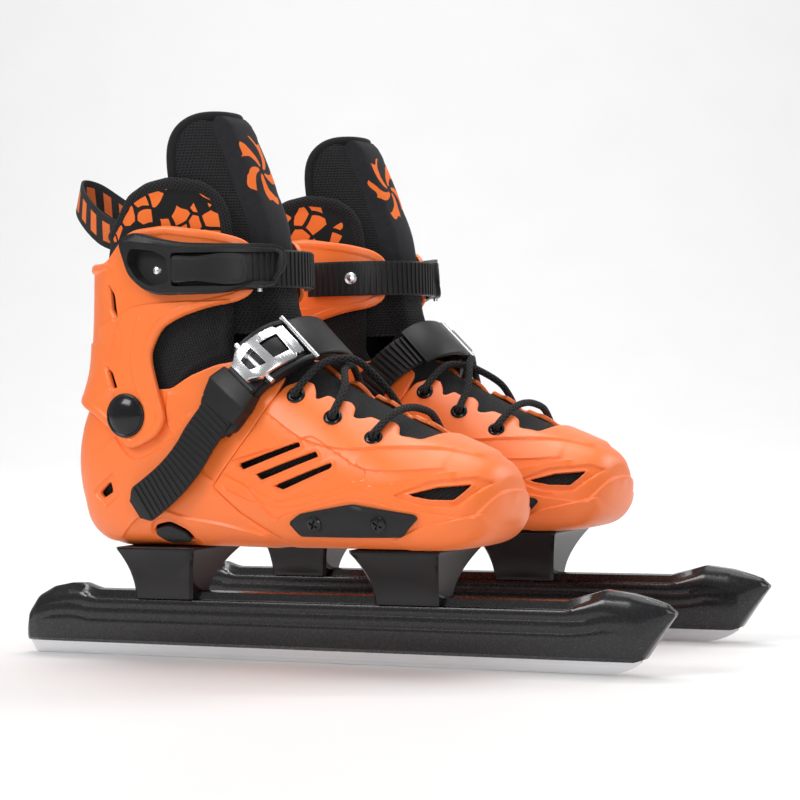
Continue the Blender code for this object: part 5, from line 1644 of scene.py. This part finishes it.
class SKATES_OT_fittings(bpy.types.Operator):
    """Make the side guards with their screws, the size button and the cuff's pivot caps."""

    bl_idname = "skates.fittings"
    bl_label = "Fittings"

    def execute(self, context):
        surface = Surface(4, 9, 14, 220)
        for name, side in (("outer", 1), ("inner", -1)):
            field = edge_field(GUARD_EDGE, side, 1.5)
            guard = cut_shell(f"side_guard_{name}", surface, field, 3.2, 0.4, 0.5, chamfer(0.9, 0.2, 2.6))
            place(guard, "toe", "matte_nylon", "black_plastic", [f"side_guard_{name}"])
        seats = [seat(x, 79.5, side) for side in (1, -1) for x in (21, 59)]
        points = np.array([p + o * 3.0 for p, o in seats])
        out = np.array([o for _, o in seats])
        along = unit(np.cross(out, (0.5, 0, 1)))
        screws = repeated("guard_screws", cross_screw(4.4, 1.7), points, along, out, "polished_black")
        place(screws, "toe", "polished_black", "gloss_black", sharp=30)
        field = edge_field(BUTTON_EDGE, 1, inset=BUTTON_GAP)
        button = cut_shell("size_button", Surface(9, 14, 14, 220), field, 1.8, -0.4, 0.7,
                           lambda p, o, s, t, depth: 0.5 * smoothstep(0, 4, depth) - 0.35)  # fmt: skip
        place(button, "size_button", "matte_nylon", "black_plastic", ["size_button"])
        point, _ = seat(*ANKLE)
        top = CUFF_LOW + CUFF_WALL + 0.3
        profile = [(4.4, -2.3), (4.4, top - 0.2), (12, top - 0.2), (12.1, top + 0.8), (11.6, top + 1.4),
                   (10.9, top + 1.5), (10.5, top + 1.2), (9.5, top + 1.9), (7.5, top + 2.9), (5, top + 3.5),
                   (2.5, top + 3.8), (0.05, top + 3.9)]  # fmt: skip
        for name, side in (("outer", 1), ("inner", -1)):
            cap = turned(f"cuff_pivot_{name}", profile, 48)
            turn = Matrix.Rotation(-side * math.pi / 2, 4, "X")
            cap.data.transform(Matrix.Translation((point[0], side * point[1], point[2])) @ turn)
            place(cap, "skate_frame", "polished_black", "gloss_black", [f"cuff_pivot_{name}"], sharp=50)
        return {"FINISHED"}


class SKATES_OT_instep_buckle(bpy.types.Operator):
    """Make the instep straps: anchored arm, keeper, ladder, chromed lever, release tab and pad."""

    bl_idname = "skates.instep_buckle"
    bl_label = "Instep buckle"

    def execute(self, context):
        low, top = 0.8, STRAP_LOW - 0.3
        over = STRAP_LOW + STRAP_THICKNESS

        def base_shape(t):
            return slab(25 - 3 * smoothstep(0.75, 1, t), low, top, 1.2)

        def foot_shape(t):
            return slab(29 - 10 * smoothstep(0.5, 0, t), low, top + 0.6, 1.2)

        def cheek_shape(t):
            return slab(3.0, top - 1, cheek_top(t, over), 0.8)

        arm = sweep("arm_base", instep_frames(8, 21), base_shape)
        foot = sweep("arm_foot", instep_frames(7.6, 10.2, 14), foot_shape)
        keeper = sweep("keeper", instep_frames(9.2, 12.2, 24), lambda t: keeper_shape(t, over))
        cheeks = [sweep(f"cheek_{n}", cheek_frames(14, 20.5, n), cheek_shape) for n in (-1, 1)]
        arm = joined("instep_arm", arm, foot, keeper, *cheeks)
        place(arm, "skate_frame", "matte_nylon", "black_plastic", ["instep_arm"], sharp=40)
        strap = ladder("instep_ladder", instep_frames(0, 44, 240), STRAP_WIDTH - 0.6, STRAP_LOW, over, 0.03, 0.36)
        place(strap, "skate_frame", "matte_nylon", "black_plastic", ["instep_ladder"], sharp=40)
        inner = instep_frames(30, 44, 90)
        line = inner[0] + inner[2] * over
        spacing = sizes().rib_spacing / MM
        ribs = repeated("instep_inner_ribs", rib(STRAP_WIDTH - 1.4, spacing * 0.5, 0.9), line,
                        unit(np.gradient(inner[0], axis=0)), inner[2], "matte_nylon", spacing)  # fmt: skip
        place(ribs, "skate_frame", "matte_nylon", "black_plastic", sharp=40)
        pad = sweep("instep_pad", instep_frames(20.5, 29.5, 60), pad_shape)
        place(pad, "skate_frame", "matte_nylon", "black_plastic", ["instep_pad"], padded=0.5, sharp=50)
        lever, inserts, pins = instep_lever()
        place(lever, "instep_lever", "polished_chrome", "chrome", ["instep_lever"], sharp=40)
        place(inserts, "instep_lever", "matte_nylon", "black_plastic", sharp=40)
        place(pins, "skate_frame", "polished_chrome", "chrome", sharp=40)
        frames = instep_frames(16.15, 17.85, 16)

        def tab_shape(t):
            return slab(10.6, over + 1.9, over + 6.0 + 0.5 * math.sin(math.pi * t), 1.0)

        tab = sweep("instep_release", frames, tab_shape)
        place(tab, "instep_release", "matte_nylon", "black_plastic", ["instep_release"], sharp=40)
        return {"FINISHED"}


def keeper_shape(t, over):
    """A tall block whose top leans down to the strap."""
    high = over + 3.3 - 1.6 * abs(2 * t - 1)
    return slab(31 - 4 * abs(2 * t - 1), 1.0, high, 2.2)


def cheek_frames(start, end, side):
    points, across, out = instep_frames(start, end, 30)
    return points + across * (side * 13.4), across, out


def cheek_top(t, over):
    return over + 1.2 + 3.6 * math.sin(math.pi * (0.15 + 0.75 * t))


def pad_shape(t):
    """A crowned pad that swells between rounded ends."""
    grown = math.sin(math.pi * min(max(t, 0.02), 0.98)) ** 0.35
    low = STRAP_LOW + STRAP_THICKNESS + 0.2
    return slab(24 + 4 * grown, low, low + 0.9 + 2.1 * grown, 1.2)


def instep_lever():
    """The chromed lever with its two openings, the black inserts and the pins it turns on."""
    over = STRAP_LOW + STRAP_THICKNESS
    low = over + 1.6
    wide = STRAP_WIDTH + 1.6

    def opening(width, bottom, top, corner):
        return lambda t: slab(width * (0.55 + 0.45 * t**0.5), bottom, top, corner)

    def body(t):
        nose = 0.62 + 0.38 * smoothstep(0.0, 0.22, t)
        shoulder = 1 - 0.16 * smoothstep(0.80, 0.86, t)
        high = low + 3.0 + 2.6 * math.sin(math.pi * min(t * 0.62 + 0.2, 1.0))
        return slab(wide * nose * shoulder, low, high, 1.5)

    lever = sweep("instep_lever", instep_frames(12.8, 19.4, 70), body)
    tab_cut = sweep("tab_cut", instep_frames(16, 18, 16), slab(12, low - 3, low + 12, 1.0))
    well_cut = sweep("well_cut", instep_frames(13.7, 15.2, 16), opening(13, low + 1.4, low + 12, 2.0))
    bored(lever, tab_cut, well_cut)
    bevelled(lever, 0.45, 2, 40)
    floor = sweep("lever_inserts", instep_frames(13.6, 15.3, 16), opening(12.6, low + 0.2, low + 2.0, 0.5))
    points, across, out = instep_frames(14.5, 20.6, 2)
    pins = []
    for n, (point, side, away) in enumerate(zip(points, across, out)):
        line = np.array([point + away * (over + 2.6) + side * y for y in np.linspace(-15.6, 15.6, 4)])
        pins.append(round_cord(f"pin_{n}", line, 1.5, 16))
    return lever, floor, joined("instep_pins", *pins)


class SKATES_OT_cuff_buckle(bpy.types.Operator):
    """Make the cuff straps: moulded buckle, flap, pins and ladder."""

    bl_idname = "skates.cuff_buckle"
    bl_label = "Cuff buckle"

    def execute(self, context):
        base = CUFF_LOW + CUFF_WALL + 0.4
        surface = Surface(16, LAST, 14, 220)
        body = cut_shell("cuff_buckle", surface, edge_field(BUCKLE_EDGE, 1, 4), base + 7.5, base, 0.8,
                         chamfer(1.6, 0.2, 3.0), BUCKLE_FEATURES)  # fmt: skip
        place(body, "cuff", "matte_nylon", "black_plastic", ["cuff_buckle"])
        flap = cut_shell("cuff_clip", surface, edge_field(FLAP, 1), base + 8.4, base + 6.4, 0.5,
                         chamfer(0.7, 0.1, 1.5))  # fmt: skip
        place(flap, "cuff_clip", "matte_nylon", "black_plastic", ["cuff_clip"])
        pins = []
        for n, (x, z) in enumerate(((-27.5, 226.0), (-27.5, 203.5), (-63, 226.5), (-63, 203.5))):
            point, out = seat(x, z)
            out = unit(out * (1, 1, 0))
            line = np.array([point + out * (base + 5.2) + (0, 0, d) for d in (-1.6, 0, 1.6)])
            pins.append(round_cord(f"cuff_pin_{n}", line, 1.4, 16))
        place(joined("cuff_pins", *pins), "cuff", "polished_chrome", "chrome")
        low = base + 2.2
        strap = ladder("cuff_ladder", shaft_frames(CUFF_STRAP_Z, *CUFF_STRAP_TURN, 200), STRAP_WIDTH - 1.5, low,
                       low + STRAP_THICKNESS + RIB_HEIGHT, 0.16, 0.97)  # fmt: skip
        place(strap, "cuff", "matte_nylon", "black_plastic", ["cuff_ladder"], sharp=40)
        return {"FINISHED"}


class SKATES_OT_stage(bpy.types.Operator):
    """Make the floor, the lights and the camera."""

    bl_idname = "skates.stage"
    bl_label = "Stage"

    def execute(self, context):
        scene = context.scene
        size, back, bend, height, gap = 30.0, 3.0, 2.0, 12.0, 0.0003
        mesh = bpy.data.meshes.new("sweep")
        turns = np.linspace(0, math.pi / 2, 16)[1:]
        profile = [(-size, 0), (back, 0)]
        profile += [(back + bend * math.sin(t), bend - bend * math.cos(t)) for t in turns]
        profile += [(back + bend, height)]
        verts = [(x, y, z - gap) for x in (-size, size) for y, z in profile]
        count = len(profile)
        mesh.from_pydata(verts, [], [(i, i + 1, i + count + 1, i + count)[::-1] for i in range(count - 1)])
        mesh.shade_smooth()
        mesh.materials.append(material("studio_sweep"))
        mesh.transform(Matrix.Rotation(math.radians(27.3), 4, "Z"))
        floor = bpy.data.objects.new("studio_sweep", mesh)
        scene.collection.objects.link(floor)
        world = bpy.data.worlds.new("studio")
        world.use_nodes = True
        world.node_tree.nodes["Background"].inputs[0].default_value = (1, 1, 1, 1)
        world.node_tree.nodes["Background"].inputs[1].default_value = 0.3
        scene.world = world
        scene.view_settings.view_transform = "Standard"
        for name, place_at, extent, power, aim in LAMPS:
            data = bpy.data.lights.new(name, "AREA")
            data.shape, data.size, data.size_y, data.energy = "RECTANGLE", extent[0], extent[1], power
            lamp = bpy.data.objects.new(name, data)
            lamp.location = place_at
            lamp.rotation_euler = (Vector(aim) - lamp.location).to_track_quat("-Z", "Y").to_euler()
            scene.collection.objects.link(lamp)
        view = bpy.data.cameras.new("camera")
        view.lens, view.sensor_width, view.clip_start = 98.8, 36.0, 0.05
        camera = bpy.data.objects.new("camera", view)
        yaw, pitch, roll = math.radians(27.29), math.radians(0.32), math.radians(-1.34)
        ahead = Vector((-math.sin(yaw) * math.cos(pitch), math.cos(yaw) * math.cos(pitch), -math.sin(pitch)))
        right = Vector((math.cos(yaw), math.sin(yaw), 0))
        up = right.cross(ahead)
        right, up = right * math.cos(roll) + up * math.sin(roll), up * math.cos(roll) - right * math.sin(roll)
        turn = Matrix((right, up, -ahead)).transposed().to_4x4()
        camera.matrix_world = Matrix.Translation((0.584, -1.1175, 0.1488)) @ turn
        scene.collection.objects.link(camera)
        scene.camera = camera
        return {"FINISHED"}


LAMPS = (
    # name, place, width and height, power, what it is aimed at
    ("key", (-0.9, -1.7, 1.5), (1.0, 0.8), 24, (0, 0, 0.13)),
    ("front_strip", (1.3, -1.5, 0.8), (0.5, 1.2), 9, (0, 0, 0.1)),
    ("top", (0.1, 0.1, 1.9), (1.8, 1.4), 20, (0, 0, 0.0)),
    ("rim", (1.2, 1.6, 1.1), (1.0, 0.8), 10, (0, 0, 0.15)),
    ("backdrop", (-0.6, 1.2, 2.6), (3.0, 1.0), 110, (-1.2, 3.6, 0.6)),
)

OPERATORS = (
    SKATES_OT_shells, SKATES_OT_liner, SKATES_OT_tongue, SKATES_OT_pull_loop, SKATES_OT_lacing,
    SKATES_OT_blade, SKATES_OT_fittings, SKATES_OT_instep_buckle, SKATES_OT_cuff_buckle, SKATES_OT_stage,
)  # fmt: skip


class SKATES_PT_panel(bpy.types.Panel):
    """Lists the steps that make the pair."""

    bl_label = "Ice skates"
    bl_idname = "SKATES_PT_panel"
    bl_space_type = "VIEW_3D"
    bl_region_type = "UI"
    bl_category = "Ice skates"

    def draw(self, context):
        for name in SkateSizes.__annotations__:
            self.layout.prop(sizes(), name)
        for operator in OPERATORS:
            self.layout.operator(operator.bl_idname)


def register():
    for made in (SkateSizes, *OPERATORS, SKATES_PT_panel):
        bpy.utils.register_class(made)
    bpy.types.Scene.ice_skates = bpy.props.PointerProperty(type=SkateSizes)


def unregister():
    del bpy.types.Scene.ice_skates
    for made in (SKATES_PT_panel, *reversed(OPERATORS), SkateSizes):
        bpy.utils.unregister_class(made)


CAD_FINISHES = {
    "orange_shell": "moulded_orange",
    "black_plastic": "matte_nylon",
    "gloss_black": "polished_black",
    "tube_lacquer": "flake_lacquer",
    "runner_steel": "ground_steel",
    "bolt_steel": "plated_steel",
    "chrome": "polished_chrome",
    "liner_fabric": "pile_binding",
    "lace_cord": "pile_binding",
}


def finish_shown_nodes():
    """Give each CAD node that stays in view its own finish."""
    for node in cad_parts.values():
        if not node.hide_render:
            for held in node.material_slots:
                held.material = material(CAD_FINISHES[held.material.name.split(".")[0]])


def main():
    register()
    for operator in OPERATORS:
        group, name = operator.bl_idname.split(".")
        getattr(getattr(bpy.ops, group), name)()
    finish_shown_nodes()


if __name__ == "__main__":
    main()
